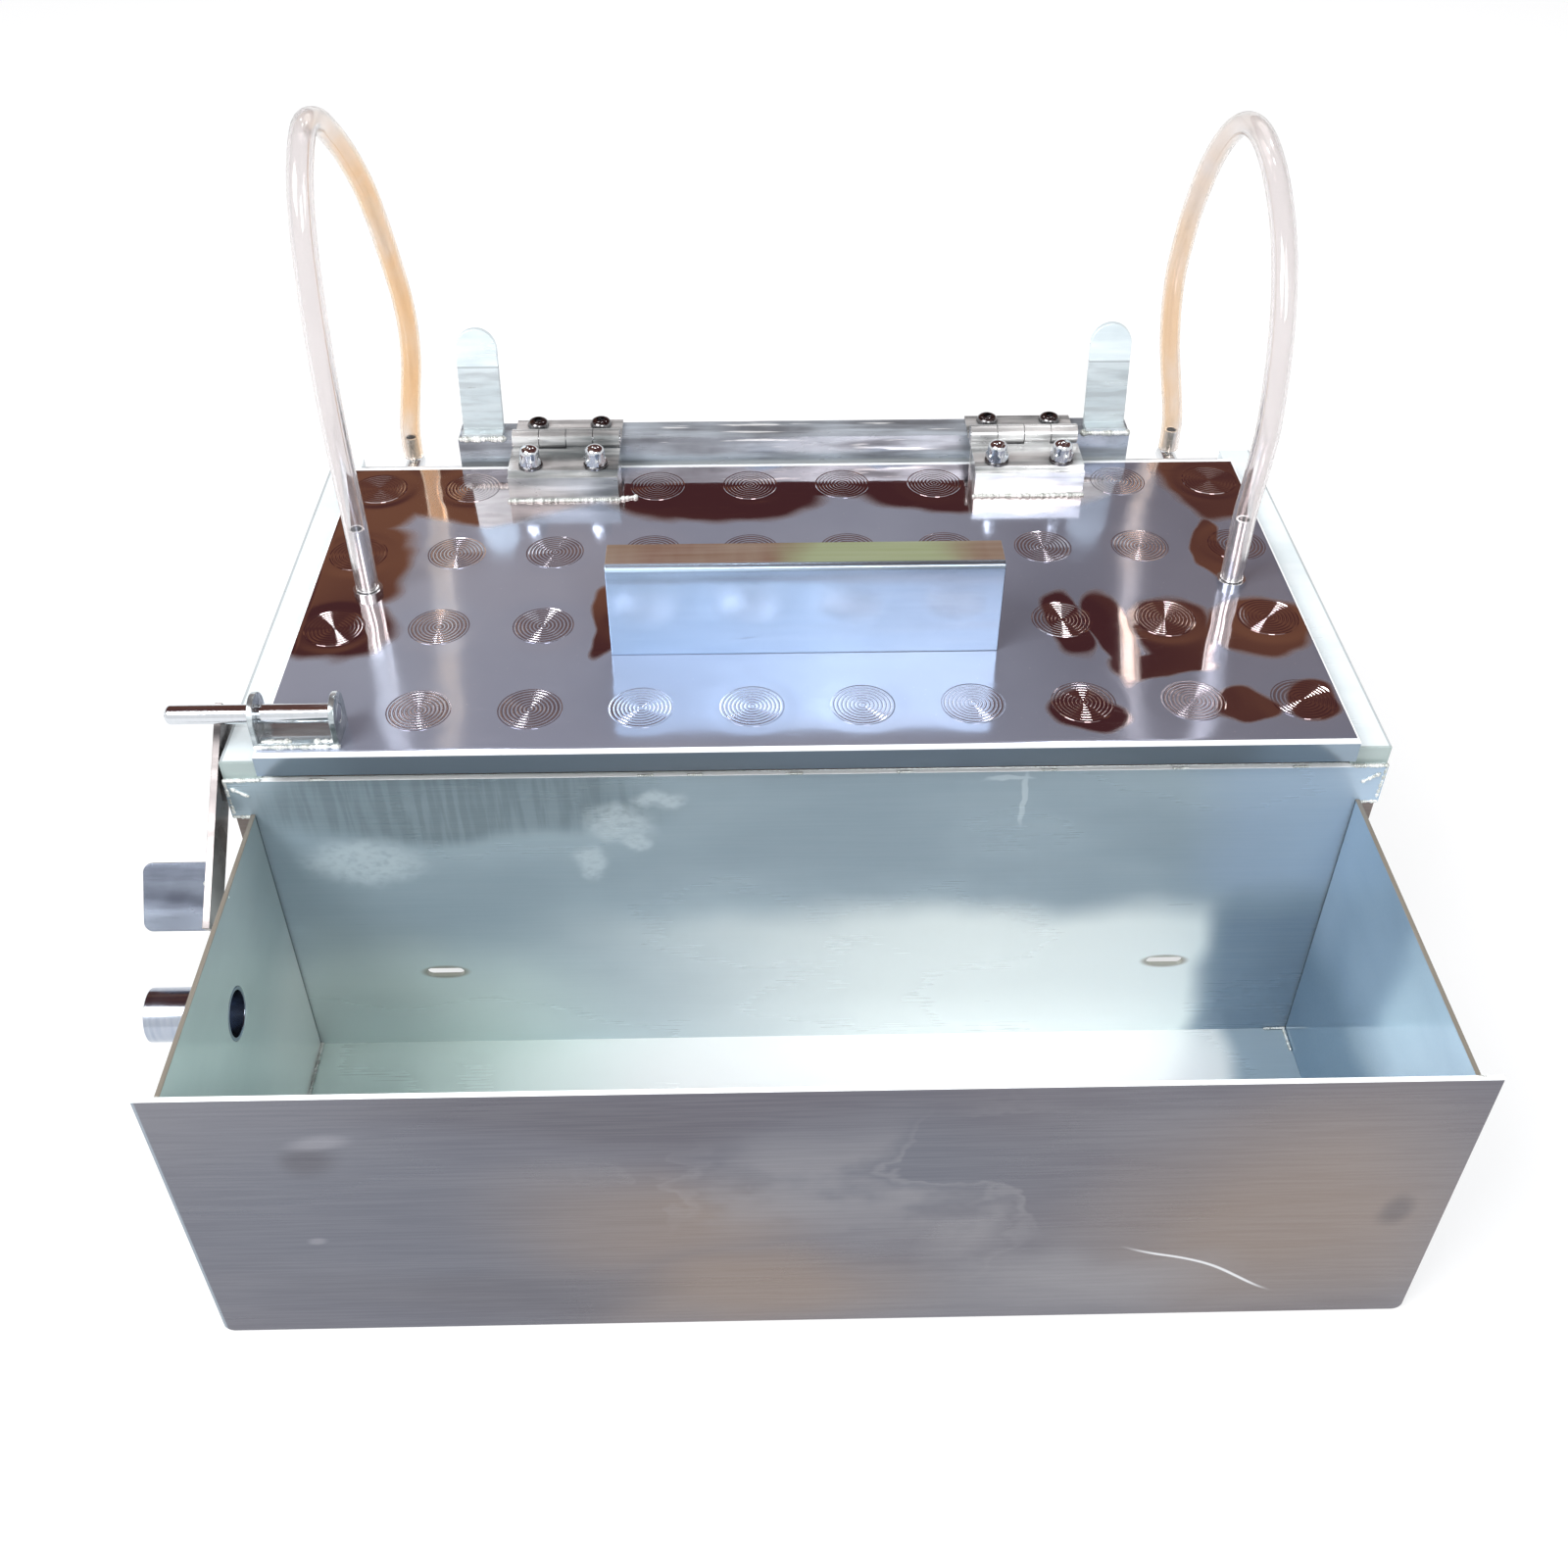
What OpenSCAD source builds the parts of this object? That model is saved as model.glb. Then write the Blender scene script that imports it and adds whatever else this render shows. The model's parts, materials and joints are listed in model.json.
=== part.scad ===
// Water-cooled press for beeswax foundation sheets.
// A shallow jacketed base carries the lower mould, a jacketed lid on two butt hinges carries the upper
// one, and a deep trough in front of the base catches the wax that runs out between them.
// Frame: x to the right, y away from the operator, z up.
// The origin is the centre of the trough floor's underside, on the surface the press stands on.

/* [Lid] */
// Width of the lid, left to right
lid_w = 450; // [430:1:455]
// Depth of the lid, front to rear
lid_d = 230; // [220:1:240]
// Height of the folded rim around the lid
lid_rim = 11; // [10:0.5:14]
// How far the lid's front edge stands out over the base
lid_overhang = 7; // [4:0.5:10]
// Space between the lid's rim and the top of the base when closed
lid_gap = 3; // [2.8:0.1:4]

/* [Base] */
// Width of the base over its side rails
base_w = 484; // [484:1:500]
// Depth of the base, front to rear
base_d = 248; // [246:1:260]
// Height of the base
base_h = 24; // [22:0.5:28]
// Width of each side rail
rail_w = 16; // [12:0.5:18]

/* [Trough] */
// Outer width of the trough over its end walls
trough_w = 468; // [462:1:470]
// Outer depth of the trough, front panel to back panel
trough_d = 152; // [140:1:180]
// Height of the trough
trough_h = 150; // [140:1:170]
// Width of the front panel
panel_w = 484; // [476:1:500]
// Outer radius of the overflow spout
spout_r = 11; // [9:0.5:13]
// How far the spout stands out of the end wall
spout_l = 32; // [20:1:40]

/* [Sheet] */
// Thickness of the stainless sheet
sheet = 2; // [1.5:0.1:2]
// Thickness of the plates that carry the moulds
plate_t = 2.5; // [2:0.1:3]
// Thickness of each mould mat
mat_t = 3; // [2.5:0.1:3]

/* [Hinges] */
// Distance of each hinge's middle from the centre line
hinge_x = 115; // [100:1:120]
// Length of each hinge
hinge_l = 54; // [50:1:60]
// Height of the blocks that lift the hinges off the lid
block_h = 13; // [12:0.5:14]
// Radius of the hinge barrel
barrel_r = 4.75; // [4.5:0.05:5]

/* [Lid stops] */
// Distance of each stop from the centre line
stop_x = 158.5; // [157:0.5:160]
// Height of a stop above the hinge bar
stop_h = 52; // [40:1:54]
// How far a stop leans back, in degrees
stop_lean = 11; // [9:0.5:14]

/* [Handle] */
// Width of the handle
handle_w = 168; // [140:1:180]
// Height of the handle
handle_h = 45; // [40:1:50]
// Depth of the handle's top
handle_d = 18; // [14:1:24]

/* [Lid lifter] */
// Radius of the rod that the lever pushes up
lift_rod_r = 4; // [3.5:0.1:4.5]
// Length of the lever from its pivot to its front end
lever_l = 66; // [62:1:70]
// Width of the lever
lever_w = 16; // [14:0.5:16]
// Slope of the lever below the horizontal at rest, in degrees
lever_slope = 37.5; // [36:0.5:39]

/* [Water hoses] */
// Outer radius of the clear hose
hose_r = 5.25; // [5:0.05:5.5]
// Outer radius of the nipples inside the hose
nipple_r = 3.5; // [3.2:0.1:3.5]
// Distance of the lid's nipples from the centre line
nipple_x = 198; // [194:1:200]

/* [Hidden] */
$fn = 48;

// Cuts run this far past a face
past = 1;

// Trough and base levels
front_y = -trough_d / 2;
back_y = trough_d / 2;
base_z0 = trough_h - sheet;
base_z1 = base_z0 + base_h;
base_y1 = back_y + base_d;
pan_hw = base_w / 2 - rail_w;
back_panel_drop = 4;
back_panel_z1 = base_z1 - back_panel_drop;
back_panel_hw = 240.5;
rail_rise = 4.5;
rail_z1 = base_z1 + rail_rise;

// Lid levels
lid_y0 = back_y - lid_overhang;
lid_y1 = lid_y0 + lid_d;
lid_z0 = base_z1 + lid_gap;
lid_z1 = lid_z0 + lid_rim;

// Mould mats: the gap between them is the thickness of the wax sheet
wax_gap = 0.6;
mat_w = 424;
mat_d = 206;
mat_y0 = (lid_y0 + lid_y1 - mat_d) / 2;
lower_mat_z1 = lid_z0 - mat_t - wax_gap;
bed_z1 = lower_mat_z1 - mat_t;
bed_z0 = bed_z1 - plate_t;

// Stays tie each jacket's two sheets together on a regular grid
stay_columns = 10;
stay_rows = 4;
stay_pitch_x = 46.3;
stay_pitch_y = 60;
stay_setback = 28;
stay_y0 = lid_y0 + stay_setback;
stay_r = 5;

// Rear rail, hinge bar and hinge axis
rear_gap = 3;
bar_y0 = lid_y1 + rear_gap;
bar_d = 17;
bar_hw = 171;
bar_wall = 3;
bar_z1 = lid_z1 + block_h;
axis_setback = 5;
axis_y = lid_y1 - axis_setback;
axis_z = bar_z1 + barrel_r;

// Hinge blocks, leaves, knuckles, pins and fasteners; blocks and leaves are measured from the axis
block_front = 30.5;
block_back = 6;
front_leaf_d = 27;
rear_leaf_d = 24.5;
leaf_t = 2;
knuckles = 4;
knuckle_gap = 0.4;
knuckle_relief = 0.5;
pin_r = 2.5;
pin_clearance = 0.05;
fixing_x = 16;
stud_y = 22.5;
screw_y = 18.5;
stud_r = 3;
stud_depth = 10;
washer_r = 6;
washer_t = 1.6;
nut_across_corners = 11.5;
nut_hex_h = 5;
nut_dome_r = 4.6;
screw_r = 2.5;
screw_head_r = 5.5;
screw_head_h = 3.6;
screw_l = 14;
fixing_slack = 0.1;

// Lid stops
stop_w = 20.6;
stop_t = 3;
stop_foot = 9;

// Handle
handle_setback = 65;
handle_y0 = lid_y0 + handle_setback;

// Nipples and hoses
nipple_bore_r = 2.5;
nipple_setback = 116;
nipple_y = lid_y0 + nipple_setback;
nipple_h = 34;
bead_rise = 0.12;
bead_h = 2;
bead_r = nipple_r + bead_rise;
collar_r = 6.5;
collar_h = 2.5;
base_nipple_dx = 8;
base_nipple_dy = 165;
base_nipple_x = nipple_x + base_nipple_dx;
base_nipple_y = nipple_y + base_nipple_dy;
base_nipple_h = 17;
elbow_r = 5;
hose_bore_r = 3.95;
hose_sides = 12;

// Each route starts at the foot of the lid's nipple: [outwards, back, up]
hose_left_route = [
  [0, 0, 3], [0, 0, 20], [0, 0, 37], [0, -1, 58], [0, -2, 80], [0, -1.5, 102], [0, 0.5, 124],
  [0, 4.5, 146], [0, 11, 166], [0, 22.5, 183.5], [0, 40, 194], [0, 60, 190.5], [0, 77.5, 180],
  [0, 94, 167.5], [0, 109, 154], [0, 123, 139], [0, 135, 122], [0, 145.5, 104], [0, 155, 86],
  [0, 163, 67], [1, 169.5, 48], [3, 173, 29], [6, 172, 10], [7.7, 167.5, -4], [8, 165, -13], [8, 165, -22]
];
hose_right_route = [
  [0, 0, 3], [0, 0, 20], [0, 0, 37], [0, -3.5, 58], [0, -6, 80], [0, -3, 100], [0, 2.5, 119],
  [0, 11.5, 136.5], [0, 24, 151.5], [0, 40, 163], [0, 58, 171], [0, 77.5, 175], [0, 97, 173.5],
  [0, 115.5, 166.5], [0, 132, 155], [0, 146, 141], [0, 157.5, 125], [0, 167, 108], [0, 174, 89],
  [0, 178, 70], [1, 178.5, 50], [3, 176, 30], [6, 171, 10], [7.7, 166.5, -4], [8, 165, -13], [8, 165, -22]
];

// Supply stubs on the rear of the base, hidden behind the hinge bar
supply_x = 140;
supply_r = 5;
supply_bore_r = 3.5;
supply_l = 26;
supply_z = (base_z0 + sheet + bed_z0) / 2;

// Trough details
slot_x = 166;
slot_z = 51;
slot_l = 17;
slot_r = 2.5;
spout_wall = 1.5;
spout_y = 1.5;
spout_drop = 43;
spout_z = trough_h - spout_drop;
corner_r = 4;

// Rear legs
leg_w = 25;
leg_t = 3;
leg_x = 205;
leg_setback = 40;
leg_y = base_y1 - leg_setback;
foot_w = 36;
foot_t = 3;

// Lid lifter: a lever on the left rail whose tail pushes up a rod in a bracket on the lid
weld_slack = 0.02;
bracket_w = 35;
bracket_d = 18;
bracket_t = 2.5;
ear_r = bracket_d / 2;
lift_rod_setback = 13;
lift_rod_rise = 11;
lift_rod_pos = [lid_y0 + lift_rod_setback, lid_z1 + lift_rod_rise];
lift_rod_x0 = -260;
lift_rod_x1 = -190;
lift_rod_tip = 1.5;
lever_t = 3;
lever_gap = 1;
lever_tail = 28;
lever_x1 = -base_w / 2 - lever_gap;
lever_x0 = lever_x1 - lever_t;
pivot_r = 3;
pivot_clearance = 0.06;
pivot_setback = 5.5;
pivot_rise = 18.5;
pivot_pos = [back_y + pivot_setback, base_z0 + pivot_rise];
paddle_w = 26;
paddle_d = 28;
paddle_t = 3;
paddle_at = 52;
paddle_lift = 2.4;
paddle_slope = 50;

// Unit vectors along the resting lever and square to it, upwards, as [y, z]
lever_dir = [-cos(lever_slope), -sin(lever_slope)];
lever_up = [-sin(lever_slope), cos(lever_slope)];

// Finishes
steel = "gainsboro";
ground_steel = "silver";
dark_steel = "dimgray";
mirror_steel = "rosybrown";
silicone = "sienna";
clear_hose = "lightcyan";

// A sheet-metal plate from corner a to corner b
module block(a, b) {
  translate(a) cube(b - a);
}

// A cylinder along +x from x0 to x1 through [y, z]
module rod_x(x0, x1, yz, r) {
  translate([x0, yz[0], yz[1]]) rotate([0, 90, 0]) cylinder(r = r, h = x1 - x0);
}

// A cylinder along +y from y0 to y1 through [x, z]
module rod_y(y0, y1, xz, r) {
  translate([xz[0], y0, xz[1]]) rotate([-90, 0, 0]) cylinder(r = r, h = y1 - y0);
}

// An outline drawn in y and z, made t thick along +x from x0
module plate_x(x0, t) {
  translate([x0, 0, 0]) rotate([90, 0, 90]) linear_extrude(t) children();
}

// A rectangle with round corners, centred
module rounded_outline(w, d, r) {
  square([w - 2 * r, d], center = true);
  square([w, d - 2 * r], center = true);
  for (sx = [-1, 1], sy = [-1, 1]) translate([sx * (w / 2 - r), sy * (d / 2 - r)]) circle(r);
}

// Places its children at each stay; the front left place is left free for the lifter's bracket
module at_stays(skip_corner) {
  for (i = [0 : stay_columns - 1], j = [0 : stay_rows - 1])
    if (!(skip_corner && i == 0 && j == 0))
      translate([(i - (stay_columns - 1) / 2) * stay_pitch_x, stay_y0 + j * stay_pitch_y, 0]) children();
}

// Places its children at each hinge's two fixings: studs in front of the axis (-1), screws behind it (1)
module at_fixings(side) {
  fixing_y = axis_y + (side < 0 ? -stud_y : screw_y);
  for (sx = [-1, 1], hx = [-1, 1])
    translate([hx * hinge_x + sx * fixing_x, fixing_y, bar_z1]) children();
}

// Base

module base_pan() {
  color(steel) difference() {
    block([-pan_hw, back_y, base_z0], [pan_hw, base_y1, bed_z0]);
    block([-pan_hw + sheet, back_y + sheet, base_z0 + sheet],
          [pan_hw - sheet, base_y1 - sheet, bed_z0 + past]);
    for (s = [-1, 1]) {
      rod_y(base_y1 - sheet - past, base_y1 + past, [s * supply_x, supply_z], supply_bore_r);
      rod_y(base_y1 - sheet - past, base_y1 + past, [s * base_nipple_x, supply_z], nipple_bore_r);
    }
  }
}

module base_bed_plate() {
  color(steel) block([-pan_hw, back_y, bed_z0], [pan_hw, base_y1, bed_z1]);
}

module base_stays() {
  color(ground_steel) at_stays(false)
    translate([0, 0, base_z0 + sheet]) cylinder(r = stay_r, h = bed_z0 - base_z0 - sheet);
}

module mat(z0) {
  color(silicone) block([-mat_w / 2, mat_y0, z0], [mat_w / 2, mat_y0 + mat_d, z0 + mat_t]);
}

module lower_mould_mat() {
  mat(bed_z1);
}

// A box section along the base, closed at both ends
module side_rail(s) {
  x0 = s < 0 ? -base_w / 2 : base_w / 2 - rail_w;
  color(steel) difference() {
    block([x0, back_y, base_z0], [x0 + rail_w, base_y1, rail_z1]);
    block([x0 + sheet, back_y + sheet, base_z0 + sheet],
          [x0 + rail_w - sheet, base_y1 - sheet, rail_z1 - sheet]);
    if (s < 0) rod_x(x0 - past, x0 + sheet + past, pivot_pos, pivot_r + fixing_slack);
  }
}

module side_rail_left() {
  side_rail(-1);
}

module side_rail_right() {
  side_rail(1);
}

module rear_rail() {
  color(ground_steel) block([-pan_hw, bar_y0, bed_z1], [pan_hw, base_y1, base_z1]);
}

// A box section with welded end caps
module hinge_bar() {
  color(ground_steel) difference() {
    block([-bar_hw, bar_y0, base_z1], [bar_hw, bar_y0 + bar_d, bar_z1]);
    block([-bar_hw + bar_wall, bar_y0 + bar_wall, base_z1 + bar_wall],
          [bar_hw - bar_wall, bar_y0 + bar_d - bar_wall, bar_z1 - bar_wall]);
    at_fixings(1) translate([0, 0, -bar_wall - past])
      cylinder(r = screw_r + fixing_slack, h = bar_wall + 2 * past);
  }
}

// Trough

module slot_outline() {
  square([slot_l - 2 * slot_r, 2 * slot_r], center = true);
  for (e = [-1, 1]) translate([e * (slot_l / 2 - slot_r), 0]) circle(slot_r);
}

// The sheet runs past the trough's ends and covers the front of the base
module trough_back_panel() {
  color(steel) difference() {
    union() {
      block([-back_panel_hw, back_y - sheet, sheet], [back_panel_hw, back_y, back_panel_z1]);
      block([-base_w / 2, back_y - sheet, base_z0], [base_w / 2, back_y, back_panel_z1]);
    }
    for (s = [-1, 1]) translate([s * slot_x, back_y + past, slot_z]) rotate([90, 0, 0])
      linear_extrude(sheet + 2 * past) slot_outline();
  }
}

module trough_floor() {
  color(steel) block([-trough_w / 2, front_y + sheet, 0], [trough_w / 2, back_y, sheet]);
}

module trough_end(s) {
  x0 = s < 0 ? -trough_w / 2 : trough_w / 2 - sheet;
  block([x0, front_y + sheet, sheet], [x0 + sheet, back_y - sheet, trough_h]);
}

module trough_end_left() {
  color(steel) difference() {
    trough_end(-1);
    rod_x(-trough_w / 2 - past, -trough_w / 2 + sheet + past, [spout_y, spout_z], spout_r + fixing_slack);
  }
}

module trough_end_right() {
  color(steel) trough_end(1);
}

// Flat sheet with square upper and round lower corners
module front_panel() {
  color(steel) translate([0, front_y + sheet, 0]) rotate([90, 0, 0]) linear_extrude(sheet) {
    translate([-panel_w / 2, corner_r]) square([panel_w, trough_h - corner_r]);
    translate([corner_r - panel_w / 2, 0]) square([panel_w - 2 * corner_r, corner_r]);
    for (s = [-1, 1]) translate([s * (panel_w / 2 - corner_r), corner_r]) circle(corner_r);
  }
}

module overflow_spout() {
  color(steel) difference() {
    rod_x(-trough_w / 2 - spout_l, -trough_w / 2 + sheet, [spout_y, spout_z], spout_r);
    rod_x(-trough_w / 2 - spout_l - past, -trough_w / 2 + sheet + past,
          [spout_y, spout_z], spout_r - spout_wall);
  }
}

// An angle section under each rear corner of the base
module rear_leg(s) {
  color(steel) translate([s * leg_x, leg_y, foot_t]) mirror([s < 0 ? 1 : 0, 0, 0]) {
    cube([leg_t, leg_w, base_z0 - foot_t]);
    translate([leg_t - leg_w, leg_w - leg_t, 0]) cube([leg_w, leg_t, base_z0 - foot_t]);
  }
}

module rear_leg_left() {
  rear_leg(-1);
}

module rear_leg_right() {
  rear_leg(1);
}

module leg_foot_plates() {
  color(ground_steel) for (s = [-1, 1])
    translate([s * (leg_x - leg_w / 2), leg_y + leg_w / 2, 0])
      linear_extrude(foot_t) rounded_outline(foot_w, foot_w, corner_r);
}

// Stops and hinges

// A bent flat strip: the foot is welded on the hinge bar and the upright leans back to a round top
module lid_stop(s) {
  lean = tan(stop_lean);
  strip = stop_t / cos(stop_lean);
  top_r = stop_w / 2;
  color(steel) translate([s * stop_x, bar_y0, bar_z1]) intersection() {
    plate_x(-stop_w / 2, stop_w) polygon([
      [0, 0], [stop_foot, 0], [stop_foot + stop_h * lean, stop_h],
      [stop_foot - strip + stop_h * lean, stop_h], [stop_foot - strip + stop_t * lean, stop_t], [0, stop_t]
    ]);
    translate([0, stop_foot + stop_h, 0]) rotate([90, 0, 0]) linear_extrude(stop_foot + 2 * stop_h) {
      translate([-stop_w / 2, 0]) square([stop_w, stop_h - top_r]);
      translate([0, stop_h - top_r]) circle(top_r);
    }
  }
}

module lid_stop_left() {
  lid_stop(-1);
}

module lid_stop_right() {
  lid_stop(1);
}

// One leaf with every other knuckle: side is -1 for the lid's leaf and 1 for the base's
module hinge_leaf(s, side, first) {
  seg = hinge_l / knuckles;
  edge = barrel_r + knuckle_relief;
  leaf_d = side < 0 ? front_leaf_d : rear_leaf_d;
  color(ground_steel) difference() {
    translate([s * hinge_x, axis_y, axis_z]) {
      translate([-hinge_l / 2, side > 0 ? edge : -leaf_d, -barrel_r]) cube([hinge_l, leaf_d - edge, leaf_t]);
      for (i = [first : 2 : knuckles - 1]) {
        x0 = -hinge_l / 2 + i * seg + knuckle_gap / 2;
        rod_x(x0, x0 + seg - knuckle_gap, [0, 0], barrel_r);
        translate([x0, side > 0 ? 0 : -edge, -barrel_r]) cube([seg - knuckle_gap, edge, leaf_t]);
      }
    }
    rod_x(s * hinge_x - hinge_l, s * hinge_x + hinge_l, [axis_y, axis_z], pin_r + pin_clearance);
    at_fixings(side) translate([0, 0, -past])
      cylinder(r = (side < 0 ? stud_r : screw_r) + fixing_slack, h = leaf_t + 2 * past);
  }
}

module hinge_rear_leaf_left() {
  hinge_leaf(-1, 1, 1);
}

module hinge_rear_leaf_right() {
  hinge_leaf(1, 1, 1);
}

module hinge_front_leaf_left() {
  hinge_leaf(-1, -1, 0);
}

module hinge_front_leaf_right() {
  hinge_leaf(1, -1, 0);
}

module hinge_pin(s) {
  color(dark_steel) rod_x(s * hinge_x - hinge_l / 2, s * hinge_x + hinge_l / 2, [axis_y, axis_z], pin_r);
}

module hinge_pin_left() {
  hinge_pin(-1);
}

module hinge_pin_right() {
  hinge_pin(1);
}

// Button-head screws: a shank with a low domed head
module rear_hinge_screws() {
  dome_r = (screw_head_r * screw_head_r + screw_head_h * screw_head_h) / (2 * screw_head_h);
  color(dark_steel) at_fixings(1) {
    translate([0, 0, leaf_t - screw_l]) cylinder(r = screw_r, h = screw_l);
    translate([0, 0, leaf_t]) intersection() {
      translate([0, 0, screw_head_h - dome_r]) sphere(dome_r);
      cylinder(r = screw_head_r, h = screw_head_h);
    }
  }
}

module hinge_block(s) {
  color(ground_steel) difference() {
    block([s * hinge_x - hinge_l / 2, axis_y - block_front, lid_z1],
          [s * hinge_x + hinge_l / 2, axis_y - block_back, bar_z1]);
    at_fixings(-1) translate([0, 0, -stud_depth]) cylinder(r = stud_r + fixing_slack, h = stud_depth + past);
  }
}

module hinge_block_left() {
  hinge_block(-1);
}

module hinge_block_right() {
  hinge_block(1);
}

module hinge_studs() {
  color(ground_steel) at_fixings(-1)
    translate([0, 0, -stud_depth]) cylinder(r = stud_r, h = stud_depth + leaf_t + washer_t + nut_hex_h);
}

module hinge_washers() {
  color(steel) at_fixings(-1) translate([0, 0, leaf_t]) difference() {
    cylinder(r = washer_r, h = washer_t);
    translate([0, 0, -past]) cylinder(r = stud_r + 2 * fixing_slack, h = washer_t + 2 * past);
  }
}

// Domed nuts: a hexagon below and a round cap above, bored for the stud
module acorn_nuts() {
  color(steel) at_fixings(-1) translate([0, 0, leaf_t + washer_t]) difference() {
    union() {
      cylinder(d = nut_across_corners, h = nut_hex_h, $fn = 6);
      translate([0, 0, nut_hex_h]) intersection() {
        sphere(nut_dome_r);
        cylinder(r = nut_dome_r, h = nut_dome_r);
      }
    }
    translate([0, 0, -past]) cylinder(r = stud_r + fixing_slack, h = nut_hex_h + past);
  }
}

// Water connections

// A welded collar, a bored tube and a bead halfway up that holds the hose
module lid_nipple(s) {
  color(ground_steel) translate([s * nipple_x, nipple_y, lid_z1]) difference() {
    union() {
      cylinder(r = collar_r, h = collar_h);
      cylinder(r = nipple_r, h = nipple_h);
      translate([0, 0, nipple_h / 2]) cylinder(r = bead_r, h = bead_h);
    }
    translate([0, 0, -past]) cylinder(r = nipple_bore_r, h = nipple_h + 2 * past);
  }
}

module lid_nipple_left() {
  lid_nipple(-1);
}

module lid_nipple_right() {
  lid_nipple(1);
}

// An elbow of two welded tubes: one out of the rear of the base, one upright inside the hose
module base_nipple(s) {
  x = s * base_nipple_x;
  color(ground_steel) difference() {
    union() {
      rod_y(base_y1, base_nipple_y + elbow_r, [x, supply_z], elbow_r);
      translate([x, base_nipple_y, supply_z]) cylinder(r = nipple_r, h = base_nipple_h);
    }
    rod_y(base_y1 - past, base_nipple_y + nipple_bore_r, [x, supply_z], nipple_bore_r);
    translate([x, base_nipple_y, supply_z]) cylinder(r = nipple_bore_r, h = base_nipple_h + past);
  }
}

module base_nipple_left() {
  base_nipple(-1);
}

module base_nipple_right() {
  base_nipple(1);
}

module supply_stub(s) {
  color(ground_steel) difference() {
    rod_y(base_y1, base_y1 + supply_l, [s * supply_x, supply_z], supply_r);
    rod_y(base_y1 - past, base_y1 + supply_l + past, [s * supply_x, supply_z], supply_bore_r);
  }
}

module supply_inlet() {
  supply_stub(-1);
}

module supply_outlet() {
  supply_stub(1);
}

// A hose is a bored tube swept along its route, one ring at each point
function unit(v) = v / norm(v);
function tangent(route, i) = unit(route[min(i + 1, len(route) - 1)] - route[max(i - 1, 0)]);
function ring(centre, dir, r) =
  let (up = unit(cross(dir, [1, 0, 0])), across = cross(up, dir))
  [for (k = [0 : hose_sides - 1])
    centre + r * cos(360 * k / hose_sides) * across + r * sin(360 * k / hose_sides) * up];
function placed(route, s) =
  [for (p = route) [s * (nipple_x + p[0]), nipple_y + p[1], lid_z1 + p[2]]];

module hose(route, s) {
  path = placed(route, s);
  rings = len(path);
  n = hose_sides;
  outer = [for (i = [0 : rings - 1]) each ring(path[i], tangent(path, i), hose_r)];
  inner = [for (i = [0 : rings - 1]) each ring(path[i], tangent(path, i), hose_bore_r)];
  shift = rings * n;
  last = (rings - 1) * n;
  walls = [for (i = [0 : rings - 2], k = [0 : n - 1])
    let (a = i * n + k, b = i * n + (k + 1) % n)
    each [[a, a + n, b + n], [a, b + n, b],
          [shift + a, shift + b + n, shift + a + n], [shift + a, shift + b, shift + b + n]]];
  ends = [for (k = [0 : n - 1])
    let (m = (k + 1) % n)
    each [[k, m, shift + m], [k, shift + m, shift + k],
          [last + k, shift + last + m, last + m], [last + k, shift + last + k, shift + last + m]]];
  color(clear_hose) polyhedron(concat(outer, inner), concat(walls, ends), convexity = 6);
}

module hose_left() {
  hose(hose_left_route, -1);
}

module hose_right() {
  hose(hose_right_route, 1);
}

// Lid

module lid_cover() {
  color(mirror_steel) difference() {
    block([-lid_w / 2, lid_y0, lid_z0], [lid_w / 2, lid_y1, lid_z1]);
    block([-lid_w / 2 + sheet, lid_y0 + sheet, lid_z0 - past],
          [lid_w / 2 - sheet, lid_y1 - sheet, lid_z1 - sheet]);
    for (s = [-1, 1]) translate([s * nipple_x, nipple_y, lid_z1 - sheet - past])
      cylinder(r = nipple_bore_r, h = sheet + 2 * past);
  }
}

module lid_face_plate() {
  color(steel) block([-lid_w / 2 + sheet, lid_y0 + sheet, lid_z0],
                     [lid_w / 2 - sheet, lid_y1 - sheet, lid_z0 + plate_t]);
}

module upper_mould_mat() {
  mat(lid_z0 - mat_t);
}

module lid_stays() {
  color(ground_steel) at_stays(true)
    translate([0, 0, lid_z0 + plate_t]) cylinder(r = stay_r, h = lid_rim - plate_t - sheet);
}

// A folded sheet: an upright face with its top turned back for the fingers
module handle() {
  color(steel) {
    block([-handle_w / 2, handle_y0, lid_z1], [handle_w / 2, handle_y0 + sheet, lid_z1 + handle_h]);
    block([-handle_w / 2, handle_y0 + sheet, lid_z1 + handle_h - sheet],
          [handle_w / 2, handle_y0 + handle_d, lid_z1 + handle_h]);
  }
}

// Lid lifter

module lifter_bracket() {
  y0 = lift_rod_pos[0] - ear_r;
  y1 = lift_rod_pos[0] + ear_r;
  x1 = -lid_w / 2 + bracket_w;
  color(steel) difference() {
    union() {
      block([-lid_w / 2, y0, lid_z1], [x1, y1, lid_z1 + bracket_t]);
      for (x0 = [-lid_w / 2, x1 - bracket_t]) {
        block([x0, y0, lid_z1], [x0 + bracket_t, y1, lift_rod_pos[1]]);
        rod_x(x0, x0 + bracket_t, lift_rod_pos, ear_r);
      }
    }
    rod_x(-lid_w / 2 - past, x1 + past, lift_rod_pos, lift_rod_r + weld_slack);
  }
}

module lifting_rod() {
  color(steel) {
    rod_x(lift_rod_x0 + lift_rod_tip, lift_rod_x1, lift_rod_pos, lift_rod_r);
    translate([lift_rod_x0, lift_rod_pos[0], lift_rod_pos[1]]) rotate([0, 90, 0])
      cylinder(r1 = lift_rod_r - lift_rod_tip, r2 = lift_rod_r, h = lift_rod_tip);
  }
}

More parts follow.
